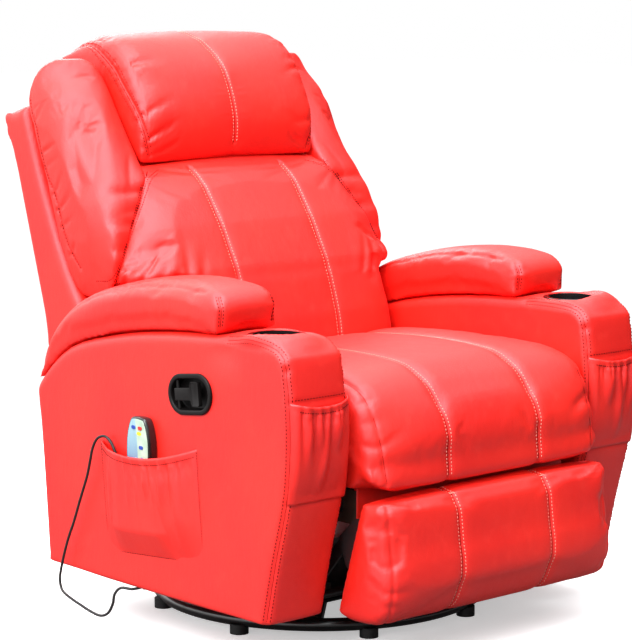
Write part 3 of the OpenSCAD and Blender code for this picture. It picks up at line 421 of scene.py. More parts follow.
class Skin:
    """The skin of a soft piece as arrays in millimetres."""

    def __init__(self, piece):
        self.piece = piece
        self.read()

    def read(self):
        mesh = self.piece.data
        self.at = np.empty(len(mesh.vertices) * 3)
        mesh.vertices.foreach_get("co", self.at)
        self.at = self.at.reshape(-1, 3) / MM
        self.out = np.empty(len(mesh.vertices) * 3)
        mesh.vertices.foreach_get("normal", self.out)
        self.out = self.out.reshape(-1, 3)
        self.x, self.y, self.z = self.at.T

    def near(self, path, reach=60):
        """For each point, its distance to a path and how far along the path that is."""
        path = np.asarray(path, float)
        along = np.r_[0, np.cumsum(np.linalg.norm(np.diff(path, axis=0), axis=1))]
        fine = np.linspace(0, along[-1], max(2, int(along[-1] / 2)))
        dense = np.stack([np.interp(fine, along, path[:, k]) for k in range(3)], axis=1)
        low, high = dense.min(axis=0) - reach, dense.max(axis=0) + reach
        close = np.where(np.all((self.at > low) & (self.at < high), axis=1))[0]
        away = np.full(len(self.at), 1e6)
        where = np.zeros(len(self.at))
        for part in np.array_split(close, max(1, len(close) // 4000)):
            gap = np.linalg.norm(self.at[part, None, :] - dense[None], axis=2)
            best = gap.argmin(axis=1)
            away[part] = gap[np.arange(len(part)), best]
            where[part] = fine[best]
        return away, where

    def push(self, amount):
        """Move each point out along its normal."""
        self.at = self.at + self.out * np.asarray(amount)[:, None]
        self.write()

    def write(self):
        self.piece.data.vertices.foreach_set("co", (self.at * MM).ravel())
        self.piece.data.update()
        self.read()

    def seam(self, path, depth=3.0, width=5.0):
        """Sink the skin along a sewn line."""
        away, _ = self.near(path)
        self.push(-depth * np.exp(-(away / width) ** 2))

    def puckers(self, path, side, depth, length, pitch, lean=0.0, seed=1, width=3.6):
        """Narrow folds pulled into the skin by a sewn line, with soft ridges between them."""
        away, where = self.near(path, length * 1.6)
        total = np.linalg.norm(np.diff(np.asarray(path, float), axis=0), axis=1).sum()
        rand = np.random.default_rng(seed)
        move = np.zeros(len(away))
        at = rand.uniform(0, pitch)
        while at < total:
            deep, far = depth * rand.uniform(0.25, 1.0), length * rand.uniform(0.45, 1.3)
            t = where - at - (lean + rand.uniform(-0.25, 0.25)) * away
            fade = (1 - rise(away, 0.2 * far, far)) * rise(away, -4, 10)
            wide = width * (1 + away / far)
            move += deep * fade * (0.35 * bump_at(t, 2.4 * wide, 1.6 * wide) - bump_at(t, 0, wide))
            at += pitch * rand.uniform(0.5, 1.8)
        self.push(np.where(away < 1e5, move, 0) * side)


def laid_on(piece, points, directions, before=60, reach=45):
    """Points and normals where rays along the directions meet the piece, from before each point."""
    mesh = piece.data
    tree = BVHTree.FromPolygons([v.co / MM for v in mesh.vertices],
                                [tuple(p.vertices) for p in mesh.polygons])
    hits = []
    for p, d in zip(points, np.broadcast_to(np.asarray(directions, float), np.shape(points))):
        d = Vector(d).normalized()
        hit, normal, _, _ = tree.ray_cast(Vector(p) - before * d, d)
        if hit is not None and (hit - Vector(p)).length < reach:
            hits.append((np.array(hit), np.array(normal)))
    return hits


stitches = {}    # rows of [middle, half length, half thickness, half width] by body and tone of thread
fewest_hits = 3  # a row laid on fewer points than this is left out


def stitch(body, hits, tone, pitch=6.4, long=3.9, thick=1.7):
    """A row of thread along points on a skin, each given with its normal."""
    if len(hits) < fewest_hits:
        return
    at = np.array([h[0] for h in hits])
    out = np.array([h[1] for h in hits])
    along = np.r_[0, np.cumsum(np.linalg.norm(np.diff(at, axis=0), axis=1))]
    stations = np.arange(pitch / 2, along[-1] - pitch / 2, pitch)
    centre, ahead, normal = (
        np.stack([np.interp(stations + step, along, rows[:, k]) for k in range(3)], axis=1)
        for step, rows in ((0, at), (1, at), (0, out)))
    ahead -= centre
    ahead /= np.linalg.norm(ahead, axis=1)[:, None]
    normal /= np.linalg.norm(normal, axis=1)[:, None]
    rows = stitches.setdefault((body, tone), [])
    for c, a, n in zip(centre, ahead, normal):
        rows.append((c, a * long / 2, n * thick / 2, np.cross(n, a) * thick / 2))


# Seams deeper than this get painted shade along their bottom.
shallow_seam = 2.3  # a seam that is no deeper than this shows no dark bottom


def paint_seam_shade(body, hits, thick):
    """Painted shade in the bottom of a deep seam, as dark stitches long enough to overlap."""
    stitch(body, hits, "crease", pitch=4.0, long=5.6, thick=thick)


def mirror_stitches(body):
    """Repeat what has been stitched on a body so far on the other side of the chair."""
    flip = np.array([-1, 1, 1])
    for tone in threads:
        rows = stitches.get((body, tone), [])
        rows += [tuple(part * flip for part in row) for row in list(rows)]


def sew(body, piece, path, directions, offsets=(-3.6, 3.6), depth=2.5, width=4.5, tone="pale"):
    """Sink a sewn line into a piece and run its thread rows beside it."""
    hits = laid_on(piece, path, directions)
    if len(hits) < fewest_hits:
        return
    line = np.array([h[0] for h in hits])
    Skin(piece).seam(line, depth, width)
    ahead = np.gradient(line, axis=0)
    ahead /= np.linalg.norm(ahead, axis=1)[:, None]
    normal = np.array([h[1] for h in hits])
    # A deep seam gets painted shade along its bottom.
    if depth > shallow_seam:
        paint_seam_shade(body, laid_on(piece, line, -normal), 0.8)
    for offset in offsets:
        stitch(body, laid_on(piece, line + offset * np.cross(normal, ahead), -normal), tone)


def swell(piece, pressure, cap, stiff=15, steps=20, hold=None):
    """Fill a soft form out under pressure, no point moving further than the cap; held points stay."""
    start = Skin(piece)
    pick(piece)
    bpy.ops.object.modifier_add(type="CLOTH")
    cloth = piece.modifiers[-1]
    cloth.settings.use_pressure = True
    cloth.settings.uniform_pressure_force = pressure
    cloth.settings.effector_weights.gravity = 0
    cloth.settings.quality = 5
    cloth.settings.tension_stiffness = stiff
    cloth.settings.compression_stiffness = stiff
    cloth.settings.shear_stiffness = stiff
    cloth.settings.bending_stiffness = 0.5
    if hold is not None:
        group = piece.vertex_groups.new(name="held")
        for index in np.where(hold)[0]:
            group.add([int(index)], 1.0, "REPLACE")
        cloth.settings.vertex_group_mass = "held"
    cloth.point_cache.frame_end = steps
    scene = bpy.context.scene
    for step in range(1, steps + 1):
        scene.frame_set(step)
    graph = bpy.context.evaluated_depsgraph_get()
    done = piece.evaluated_get(graph)
    moved = np.empty(len(done.data.vertices) * 3)
    done.data.vertices.foreach_get("co", moved)
    step = moved.reshape(-1, 3) / MM - start.at
    far = np.linalg.norm(step, axis=1)
    step *= (np.minimum(far, cap) / np.maximum(far, 1e-6))[:, None]
    piece.modifiers.clear()
    piece.vertex_groups.clear()
    scene.frame_set(1)
    start.at = start.at + step
    start.write()


def drawn_in(outline, amount):
    """Closed anticlockwise outline drawn in by an amount."""
    t = np.roll(outline, -1, axis=0) - np.roll(outline, 1, axis=0)
    t /= np.linalg.norm(t, axis=1)[:, None]
    return outline + amount * np.stack([-t[:, 1], t[:, 0]], axis=1)


def edge_in(x, half, radius):
    """How far a rounded edge of that radius has drawn in at x, with its outside at half."""
    over = np.clip(np.abs(x) - (half - radius), 0, radius)
    return radius * (1 - np.sqrt(np.maximum(0, 1 - (over / radius) ** 2)))


def across(name, outline, stations, inset, fixed=0, middle=0, room=None):
    """Side outline [y, z] lofted across stations about the middle, each drawn in by inset(x).

    The first points, as many as fixed says, aren't drawn in, and the others by no more than their room.
    """
    rings = []
    for x in stations:
        amount = max(inset(x), 0.001)
        part = np.ones(len(outline)) if room is None else np.minimum(1, room / amount)
        part[:fixed] = 0
        ring = outline + (drawn_in(outline, amount) - outline) * part[:, None]
        rings.append(np.c_[np.full(len(ring), x + middle), ring])
    return loft(name, rings)


def pad_stations(half, radius, inner=()):
    """Stations across a pad, close together where its edges round off."""
    e = half - radius * np.array([0, 0.03, 0.12, 0.25, 0.45, 0.7, 1.0])
    return [*(-e), *inner, *e[::-1]]


def join(pieces):
    """Join pieces into the first of them, and return it."""
    clear_selection()
    for piece in pieces:
        piece.select_set(True)
    bpy.context.view_layer.objects.active = pieces[0]
    bpy.ops.object.join()
    return pieces[0]


def carve(piece, tool):
    """Cut a closed tool out of a piece and drop the tool."""
    modify(piece, "BOOLEAN", operation="DIFFERENCE", object=tool, solver="EXACT")
    bpy.data.objects.remove(tool, do_unlink=True)


def twin(piece, name):
    """Mirrored copy for the other side of the chair."""
    other = piece.copy()
    other.data = piece.data.copy()
    other.name = name
    bpy.context.scene.collection.objects.link(other)
    other.data.transform(Matrix.Scale(-1, 4, (1, 0, 0)))
    other.data.flip_normals()
    return other


def settle(piece, body, *nodes, fill=None, slot="leather"):
    """Let a finished piece ride on a body and stand for its nodes."""
    smooth_look(piece)
    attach(piece, body)
    if nodes:
        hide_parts(*nodes)


def paint(piece, material):
    piece.data.materials.clear()
    piece.data.materials.append(material)


def block(name, at, size, material):
    """Box of a size round a place, to be shaped further."""
    clear_selection()
    bpy.ops.mesh.primitive_cube_add(size=1, location=[v * MM for v in at], scale=[v * MM for v in size])
    piece = bpy.context.object
    piece.name = name
    bpy.ops.object.transform_apply(location=True, rotation=True, scale=True)
    paint(piece, material)
    return piece


# ------------------------------------------------------------------ arms

hem = 64                        # where the arm's outline starts, below the cut
arm_foot = 86                   # where the arm is cut off flat
arm_round = 16
cup_y, cup_bore = -320, 45.6
cup_tool_long = 180
arm_front = [(-362, hem), (-392, 195), (-423, 317), (-429, 433), (-419, deck - 37), (-409, deck - 15),
             (-388, deck - 2)]
arm_top = [(-360, deck), (-304, deck), (-240, deck - 1), (-95, deck - 11), (46, deck - 31),
           (189, deck - 69), (283, 425), (290, 386)]
arm_rear = [(285, 349), (275, 237), (261, hem)]
arm_outline = curve((arm_front + arm_top + arm_rear)[::-1], 4)
front_rise = curve(arm_front, 6)


def front_y(z):
    """Where the arm's front is at a height."""
    return np.interp(z, front_rise[:, 1], front_rise[:, 0])


def trim(piece, at, away):
    """Cut off what lies beyond a plane and close the cut."""
    pick(piece)
    bpy.ops.object.mode_set(mode="EDIT")
    bpy.ops.mesh.select_all(action="SELECT")
    bpy.ops.mesh.bisect(plane_co=Vector(at) * MM, plane_no=away, use_fill=True, clear_outer=True)
    bpy.ops.object.mode_set(mode="OBJECT")


def rounded_bar(name, length, height, depth, material):
    """Bar with half-round ends, along Y, its axis of depth along X from 0."""
    clear_selection()
    bpy.ops.mesh.primitive_cylinder_add(vertices=64, radius=height / 2 * MM, depth=depth * MM,
                                        location=(depth / 2 * MM, 0, 0), rotation=(0, math.pi / 2, 0))
    piece = bpy.context.object
    piece.name = name
    bpy.ops.object.transform_apply(location=True, rotation=True, scale=True)
    for way in (-1, 1):
        choose(piece, lambda place, normal: place.y * way > 0.01)
        bpy.ops.transform.translate(value=(0, way * (length - height) / 2 * MM, 0))
        bpy.ops.object.mode_set(mode="OBJECT")
    paint(piece, material)
    return piece


def choose(piece, test, kind="VERT"):
    """Open a piece for editing with the points or faces selected whose place and normal pass the test."""
    pick(piece)
    bpy.ops.object.mode_set(mode="EDIT")
    bpy.context.tool_settings.mesh_select_mode = (kind == "VERT", False, kind == "FACE")
    bpy.ops.mesh.select_all(action="DESELECT")
    mesh = bmesh.from_edit_mesh(piece.data)
    for part in mesh.verts if kind == "VERT" else mesh.faces:
        place = part.co if kind == "VERT" else part.calc_center_median()
        if test(place / MM, part.normal):
            part.select_set(True)
    bmesh.update_edit_mesh(piece.data)


arm = across("arm_cover_right_leather", arm_outline, pad_stations(arm_half, arm_round),
             lambda x: edge_in(x, arm_half, arm_round), middle=-arm_x)
trim(arm, (0, 0, arm_foot), (0, 0, -1))
even(arm, 5, 3)

# Padding: both sides stand out in their middles, the front is crowned, the outer side is drawn in below
# the arm pad's nose, and a roll runs round the cup, fullest towards the outer front
skin = Skin(arm)
outer = rise(-skin.out[:, 0], 0.5, 0.9)
inner = rise(skin.out[:, 0], 0.5, 0.9)
mid_length = 1 - rise(np.abs(skin.y + 60), 120, 300)
saddle = bump_at(skin.y, -262, 40) * bump_at(skin.z, 545, 30) * outer
front = rise(-skin.out[:, 1], 0.4, 0.9) * (1 - (np.abs(skin.x + arm_x) / arm_half) ** 2)
from_cup = np.hypot(skin.x + arm_x, skin.y - cup_y)
outer_front = rise((arm_x + skin.x) * -0.66 + (cup_y - skin.y) * 0.75, 10, 45)
roll = rise(from_cup, 51, 57) * (1 - rise(from_cup, 60, 96)) * rise(skin.out[:, 2], 0.4, 0.8)
skin.push((2.5 * outer + 2.0 * inner) * mid_length - 5 * saddle + 3.0 * front + (5 + 8 * outer_front) * roll)

# Seams up the front's two edges and back along the deck's edges
arm_seam = {"offsets": (-6.2, 6.2), "depth": 3.2, "width": 4.5, "tone": "dark"}
edge_z = np.linspace(arm_foot + 6, deck - 40, 70)
for side, x in ((-1, -arm_out + 4), (1, -arm_in - 4)):
    up = np.c_[np.full(len(edge_z), x), front_y(edge_z) + 4, edge_z]
    over = curve([(x, -415, deck - 38), (x, -407, deck - 17), (x, -388, deck - 5), (x, -350, deck - 3),
                  (x, -300, deck - 3), (x, -262, deck - 4)], 8)
    sew("chair_frame", arm, up, (-0.72 * side, 0.69, 0), **arm_seam)
    sew("chair_frame", arm, over, (-0.7 * side, 0.3, -0.7), **arm_seam)

# Lines where the front pocket is let in, and where the front turns under the deck
pocket_foot, front_turn = 302, 474
for z in (pocket_foot, front_turn):
    band = np.linspace(-arm_out + 8, -arm_in - 8, 30)
    line = np.c_[band, np.full(len(band), front_y(z)), np.full(len(band), z)]
    sew("chair_frame", arm, line, (0, 1, 0), (4,), 1.6, 3.5, "dark")

clear_selection()
bpy.ops.mesh.primitive_cylinder_add(vertices=72, radius=cup_bore * MM, depth=cup_tool_long * MM,
                                    location=(-arm_x * MM, cup_y * MM, (deck + 8) * MM))
carve(arm, bpy.context.object)
arm_left = twin(arm, "arm_cover_left_leather")

# Opening for the lever's bezel, in the right arm only: its tool runs from inside the arm out through its side
bezel_long, bezel_high, bezel_sunk = 118, 72, 18
bezel_place = (Matrix.Translation(Vector((-arm_out, -174, 458)) * MM)
               @ Matrix.Rotation(math.radians(-7), 4, "X") @ Matrix.Rotation(math.pi, 4, "Z"))
hole_smaller, hole_tool_long, hole_deep = 10, 60, 24
hole = rounded_bar("bezel_hole", bezel_long - hole_smaller, bezel_high - hole_smaller, hole_tool_long,
                   red_leather)
hole.data.transform(bezel_place @ Matrix.Translation((-hole_deep * MM, 0, 0)))
carve(arm, hole)

# ------------------------------------------------------------------ arm pads

# The pad's underside lies on the arm, and its crown runs over it from the rear to the nose
pad_rest = np.array([(-240, deck + 1.5), (-95, deck - 9), (46, deck - 29), (189, deck - 67), (284, 427)])
pad_under = curve(pad_rest, 3)
pad_crown = curve([
    (286, 440), (277, 468), (250, 515), (200, deck - 7), (143, deck + 25), (80, deck + 47),
    (-20, deck + 70), (-120, deck + 79), (-177, deck + 78), (-218, deck + 74), (-242, deck + 63),
    (-254, deck + 44), (-250, deck + 20)], 4)
pad_outline = np.vstack([pad_under, pad_crown])
pad_half, pad_round = 67.5, 20
above_rest = pad_outline[:, 1] - np.interp(pad_outline[:, 0], pad_rest[:, 0], pad_rest[:, 1])
pad = across("arm_pad_right_leather", pad_outline, pad_stations(pad_half, pad_round, [-20, 0, 20]),
             lambda x: edge_in(x, pad_half, pad_round) + 4 * (x / pad_half) ** 2,
             len(pad_under), -arm_x, 0.6 * np.maximum(0, above_rest))
even(pad, 4.5, 3)
swell(pad, 3, 4)

# Seams down the nose's two corners and back along the crown's edges, with folds at the inner corner
nose_z = np.linspace(deck + 12, deck + 66, 24)
nose_y = np.interp(nose_z, [deck + 12, deck + 44, deck + 66], [-246, -249, -238])
ridge = np.array([(y, z) for y, z in pad_crown if -200 < y < 262 and z > 470])
ridge = ridge[ridge[:, 0].argsort()]
for side in (-1, 1):
    x = -arm_x + side * (pad_half - 4)
    nose = np.c_[np.full(len(nose_z), x), nose_y, nose_z]
    sew("chair_frame", pad, nose, (-0.7 * side, 0.7, 0), depth=3.0, tone="dark")
    sew("chair_frame", pad, np.c_[np.full(len(ridge), x), ridge[:, 0], ridge[:, 1] - 5],
        (-0.75 * side, 0, -0.66), (), 2.2, 4.0)
Skin(pad).puckers(nose, 1.0, 2.0, 26, 12, seed=5)
pad_left = twin(pad, "arm_pad_left_leather")

# ------------------------------------------------------------------ seat cushion

seat_half, seat_round = 287, 42
seat_base = 304.4
seat_under = [(y, seat_base) for y in (-416, -300, -130, 30)]
seat_crown = curve([
    (44, 330), (46, 400), (40, 475), (20, 489), (-40, 495), (-150, 503), (-260, 505), (-350, 501),
    (-399, 493), (-432, 479), (-457, 449), (-475, 405), (-485, 365), (-491, 332), (-492, 311), (-478, 300),
    (-440, 301)], 4)
seat_outline = np.vstack([seat_under, seat_crown])


def channel_in(x):
    """How far the two channels draw a cushion in at x."""
    return 3 * bump_at(np.abs(x), channel_x, 10)


def inward(line):
    """Directions in Y and Z square to an open side line, to the left of its run."""
    step = np.gradient(np.asarray(line, float), axis=0)
    step /= np.linalg.norm(step, axis=1)[:, None]
    return np.c_[-step[:, 1], step[:, 0]]


def sew_channels(body, piece, line):
    """Two sewn channels along an open side line [y, z], each with a thread row on both sides."""
    for x in (-channel_x, channel_x):
        path = np.c_[np.full(len(line), x), line]
        sew(body, piece, path, np.c_[np.zeros(len(line)), inward(line)], (-5.4, 5.4), 3.5, 5.0)


seat_x = np.linspace(-240, 240, 49)
seat = across("seat_cushion_leather", seat_outline, pad_stations(seat_half, seat_round, seat_x),
              lambda x: 0.7 * edge_in(x, seat_half, seat_round) + channel_in(x)
              + 9 * (x / seat_half) ** 4 + 3,
              len(seat_under))
even(seat, 6, 2)
swell(seat, 4, 7)
modify(seat, "SUBSURF", levels=1, render_levels=1)

# Channels, seams along the side edges with folds in front, and a soft crease across the front's foot
seat_line = curve(seat_crown[(seat_crown[:, 0] < 26) & (seat_crown[:, 1] > 312)], 3)
sew_channels("seat", seat, seat_line)
for side in (-1, 1):
    edge = np.array([(side * (seat_half - 15), y + 6, z - 3) for y, z in seat_line[::3] if y < 0])
    sew("seat", seat, edge, (-0.75 * side, 0.3, -0.6), (), 2.5, 4.5)
    skin = Skin(seat)
    skin.puckers(edge[edge[:, 1] < -430], rise(-skin.out[:, 1], 0.1, 0.5), 3.6, 80, 36,
                 lean=0.3 * side, seed=21 + side, width=6.5)
to_sides = 0.3 + 0.7 * rise(np.abs(skin.x), 60, 250)
skin.push(-3.0 * bump_at(skin.z, 352, 16) * rise(-skin.out[:, 1], 0.5, 0.9) * to_sides)

# ------------------------------------------------------------------ footrest pad

foot_top, foot_bottom = (-443, 288), (-383, 90)    # ends of the flat rear, which lies on the board
foot_crown = curve([
    (-448, 297), (-462, 301), (-480, 302), (-496, 296), (-504, 258), (-509, 214), (-515, 179), (-516, 142),
    (-509, 108), (-494, 84), (-470, 72), (-430, 69), (-399, 71), (-386, 79)], 4)
foot_outline = np.vstack([[foot_bottom, foot_top], foot_crown])
foot_half, foot_round = seat_half - 2, 24
foot = across("footrest_leather", foot_outline, pad_stations(foot_half, foot_round, seat_x),
              lambda x: 0.6 * edge_in(x, foot_half, foot_round) + channel_in(x)
              + 6 * (x / foot_half) ** 4 + 2,
              fixed=2)
even(foot, 5.5, 2)
foot_rear_way = np.array([0, 0.957, 0.29])
swell(foot, 4, 6, hold=Skin(foot).out @ foot_rear_way > 0.8)
modify(foot, "SUBSURF", levels=1, render_levels=1)
foot_line = curve(foot_crown[(foot_crown[:, 0] < -470) | (foot_crown[:, 1] > 285)], 3)
sew_channels("footrest", foot, foot_line)
for side in (-1, 1):
    edge = np.array([(side * (foot_half - 12), y + 5, z) for y, z in foot_line[::3]])
    sew("footrest", foot, edge, (-0.8 * side, 0.6, 0), (), 2.2, 4.0)
    skin = Skin(foot)
    skin.puckers(edge, rise(-skin.out[:, 1], 0.1, 0.5), 2.6, 62, 36,
                 lean=0.2 * side, seed=31 + side, width=6.0)

# Leather over the seat's front board
apron = block("seat_front_board_leather", (0, -397.5, 271.5), (511, 9, 67), red_leather)
modify(apron, "BEVEL", width=3 * MM, segments=3)

# ------------------------------------------------------------------ back

lean = math.radians(17)
back_foot = (308, 230)      # [y, z] where the line that the back leans along starts


def back_y(z, c):
    """Y at a height, c in front of the back's leaning line."""
    return back_foot[0] + (z - back_foot[1]) * math.tan(lean) - c / math.cos(lean)


def leaned(point):
    """A point given along and square to the back's leaning line."""
    x, y, z = point
    return (x, back_foot[0] + y * math.cos(lean) + z * math.sin(lean),
            back_foot[1] - y * math.sin(lean) + z * math.cos(lean))


def rows_at(rows, heights):
    """Rows that start with a height, read at other heights."""
    columns = [np.interp(heights, rows[:, 0], rows[:, k]) for k in range(1, rows.shape[1])]
    return np.stack([heights, *columns], axis=1)


# Back cushion: [height, half width, front]. Seam between cushion and wing: [height, x, y]
back_rows = np.array([
    (342, 268, 92), (352, 280, 66), (380, 286, 51), (430, 286, 47), (475, 286, 49), (520, 286, 57),
    (560, 286, 70), (592, 287, 81), (602, 318, 86), (622, 329, 93), (650, 316, 108), (700, 290, 136),
    (750, 257, 172), (792, 234, 203), (806, 226, 227), (820, 222, 263), (850, 216, 291), (900, 210, 328),
    (940, 207, 372), (962, 204, 414)], float)
joint_rows = np.array([
    (600, 328, 183), (622, 323, 184), (650, 309, 186), (700, 283, 191), (750, 252, 203), (792, 227, 216),
    (806, 219, 221)], float)
back_deep = 80.4            # from the leaning line to the cushion's rear
joint_low, joint_high = 596, 810


def back_loop(z, half, front, rear):
    """The back cushion cut level at a height: crowned front, sides that wrap round to the wing's seam."""
    r = np.interp(z, [592, 602, 622, 650, 700, 750, 792, 806, 820], [44, 62, 62, 60, 40, 24, 10, 10, 40])
    rear_half = min(np.interp(z, [592, 622, 650, 700, 792, 806], [286, 296, 286, 262, 214, 210]), half)
    turn = half - r * np.array([0.7, 0.45, 0.25, 0.12, 0.03, 0])
    right = np.array([*np.linspace(10, half - 46, 16), half - r, *turn])
    xs = np.array([*-right[::-1], 0, *right])
    ys = np.minimum(rear - 12, front + edge_in(xs, half, r) + channel_in(xs) + 8 * (xs / half) ** 2)
    if joint_low < z < joint_high:
        _, x, y = rows_at(joint_rows, np.array([z]))[0]
    else:
        x, y = half, (ys[-1] + rear) / 2
    return [(-x, y, z), *[(x, y, z) for x, y in zip(xs, ys)], (x, y, z), (rear_half, rear - 6, z),
            (rear_half - 6, rear, z), (6 - rear_half, rear, z), (-rear_half, rear - 6, z)]


back = loft("back_cushion_leather", [back_loop(z, half, front, back_y(z, back_deep))
                                     for z, half, front in rows_at(back_rows, np.linspace(342, 962, 63))])
even(back, 6, 2)
skin = Skin(back)
joint_y = np.interp(skin.z, joint_rows[:, 0], joint_rows[:, 2])
swell(back, 4, 8, hold=(np.abs(skin.x) > 205) & (skin.y > joint_y - 8)
      & (skin.z > joint_low) & (skin.z < joint_high + 2))
modify(back, "SUBSURF", levels=1, render_levels=1)

# Wing: [height, inner x, outer x, inner front, outer front]. Its rear: [height, y]
wing_out = 338
wing_rows = np.array([
    (572, 312, wing_out - 14, 224, 230), (582, 318, wing_out - 8, 204, 212),
    (600, 326, wing_out - 3, 184, 190), (622, 321, wing_out, 180, 178), (650, 307, wing_out, 182, 168),
    (700, 281, wing_out, 187, 178), (750, 250, wing_out, 199, 206), (792, 225, wing_out, 212, 237),
    (830, 218, wing_out, 240, 268), (870, 219, wing_out, 268, 294), (910, 219, wing_out, 296, 320),
    (945, 219, wing_out - 1, 318, 352), (975, 222, wing_out - 5, 336, 392),
    (1000, 232, wing_out - 16, 350, 404), (1011, 250, wing_out - 38, 364, 396)], float)
wing_rear = np.array([
    (545, 271), (674, 349), (775, 395), (840, 420), (914, 446), (940, 448), (968, 440), (992, 428),
    (1012, 408)], float)


def wing_loop(z, inner, outer, inner_front, outer_front):
    """The left wing cut level at a height: a rounded front, and an inner side that ends behind the seam."""
    rear = np.interp(z, wing_rear[:, 0], wing_rear[:, 1]) - 1
    inner_rear = min(rear, back_y(z, 78) - 4)
    inner_drop = np.interp(z, [590, 606, 796, 830], [22, 4, 4, 26])
    inner_foot = inner - np.interp(z, [580, 622, 800, 830], [0, 24, 12, 0])
    mid, half = (inner + outer) / 2, (outer - inner) / 2
    t = np.linspace(0, np.pi, 21)
    c, s = np.cos(t), np.sin(t)
    xs = mid - half * np.sign(c) * np.abs(c) ** 0.7
    drop = np.where(c > 0, inner_drop, 26)
    slope = inner_front + (outer_front - inner_front) * (1 - c) / 2
    ys = np.minimum(inner_rear - 14, slope + drop * (1 - s ** 0.6) - 8 * s)
    return [*[(x, y, z) for x, y in zip(xs, ys)], (outer, rear - 12, z), (outer - 0.3 * half, rear, z),
            (inner_foot + 0.3 * half, inner_rear, z), (inner_foot, inner_rear - 12, z)]


wing = loft("wing_left_leather",
            [wing_loop(*row) for row in rows_at(wing_rows, np.linspace(572, 1011, 45))])
even(wing, 5, 2)
skin = Skin(wing)
wing_edge = np.interp(skin.z, wing_rows[:, 0], wing_rows[:, 1])
swell(wing, 4, 9, hold=(skin.x < wing_edge + 8) & (skin.z < 985))
modify(wing, "SUBSURF", levels=1, render_levels=1)

# The wing's rows of the double seam at the joint, the long seam down its side, painted shade along the
# bottoms of both, and folds from both
joint_thread = {"pitch": 5.4, "long": 3.8, "thick": 1.9}
wing_joint = rows_at(joint_rows, np.linspace(604, 806, 70))[:, [1, 2, 0]]
wing_side = curve([(wing_out + 2, y, z) for y, z in (
    (270, 627), (307, 677), (334, 750), (362, 794), (383, 838), (398, 882), (420, 913), (429, 941))], 10)
# Painted shade along the bottom of the joint's seam
paint_seam_shade("backrest", [(point - (0, 1, 0), np.array((0.2, -0.98, 0))) for point in wing_joint], 2.0)
for offset in (5, 10):
    stitch("backrest", laid_on(wing, wing_joint + (offset, 0, 0), (0, 1, 0)), "dark", **joint_thread)
sew("backrest", wing, wing_side, (-1, 0, 0), (-2,), 3.0, 4.5, "dark")
skin = Skin(wing)
skin.puckers(wing_side, rise(-skin.out[:, 1] + 0.5 * skin.out[:, 0], 0.2, 0.6), 2.6, 60, 34,
             lean=0.2, seed=41)
skin.puckers(wing_joint, rise(-skin.out[:, 1], 0.3, 0.7), 3.4, 90, 40, lean=-0.6, seed=43, width=8)
wing_right = twin(wing, "wing_right_leather")
mirror_stitches("backrest")

# The cushion's channels, its rows of the double seam, and folds and a crease at its two low corners
back_line = np.array([(front, z) for z, _, front in rows_at(back_rows, np.linspace(440, 806, 90))])
sew_channels("backrest", back, back_line)
skin = Skin(back)
for side in (-1, 1):
    for offset in (6, 12):
        row = (wing_joint - (0, offset, 0)) * (side, 1, 1)
        stitch("backrest", laid_on(back, row, (-0.9 * side, 0.45, 0)), "dark", **joint_thread)
    low_edge = curve([(side * x, y, z) for x, y, z in (
        (312, 186, 650), (328, 170, 616), (318, 118, 602), (285, 88, 594), (240, 78, 590),
        (170, 72, 588))], 8)
    skin.puckers(low_edge, rise(-skin.out[:, 1], -0.1, 0.4) * rise(skin.z, 588, 602), 7.0, 130, 34,
                 lean=-0.35 * side, seed=51 + side, width=7)
    low_corner = rise(np.abs(skin.x), 255, 290) * rise(-skin.out[:, 1], -0.2, 0.4)
    skin.push(-5 * bump_at(skin.z, 596, 9) * low_corner)

# ------------------------------------------------------------------ back shell

shell_half, shell_round = 340, 20
shell_side = np.vstack([
    [(-55, 215), (8, 241)],
    curve([(6, 262), (0, 310), (0, 450), (0, 687), (-6, 700), (-18, 705)], 3),
    curve([(-60, 705), (-69, 693), (-72, 616), (-77, 547), (-91, 437), (-108, 360), (-127, 292),
           (-124, 272), (-82, 239)], 3)])
shell_rings = []
for x in pad_stations(shell_half, shell_round):
    ring = drawn_in(shell_side, edge_in(x, shell_half, shell_round))
    shell_rings.append([leaned((x, y, z)) for y, z in ring])
shell = loft("back_shell_leather", shell_rings)
even(shell, 6, 2)

# The shell's tail, which goes down between the arms
tail_half, tail_edge = 276, 5
tail_side = [(0, 4), (0, 266), (-78, 266), (-78, 4)]
tail = loft("back_tail_leather", [
    [leaned((x, y * deep, z)) for y, z in tail_side] for x, deep in
    ((-tail_half, 0.94), (tail_edge - tail_half, 1.0), (tail_half - tail_edge, 1.0), (tail_half, 0.94))])
even(tail, 6, 2)

# Seams down the shell's rear, near its edges and beside its middle
into_rear = np.subtract(leaned((0, -1, 0)), leaned((0, 0, 0)))
for x, offsets in ((shell_half - 16, ()), (110, (-3.6, 3.6))):
    for side in (-1, 1):
        line = np.array([leaned((side * x, 6, z)) for z in np.linspace(276, 690, 90)])
        sew("backrest", shell, line, into_rear, offsets, 2.2, 4.0)

# ------------------------------------------------------------------ head pillow

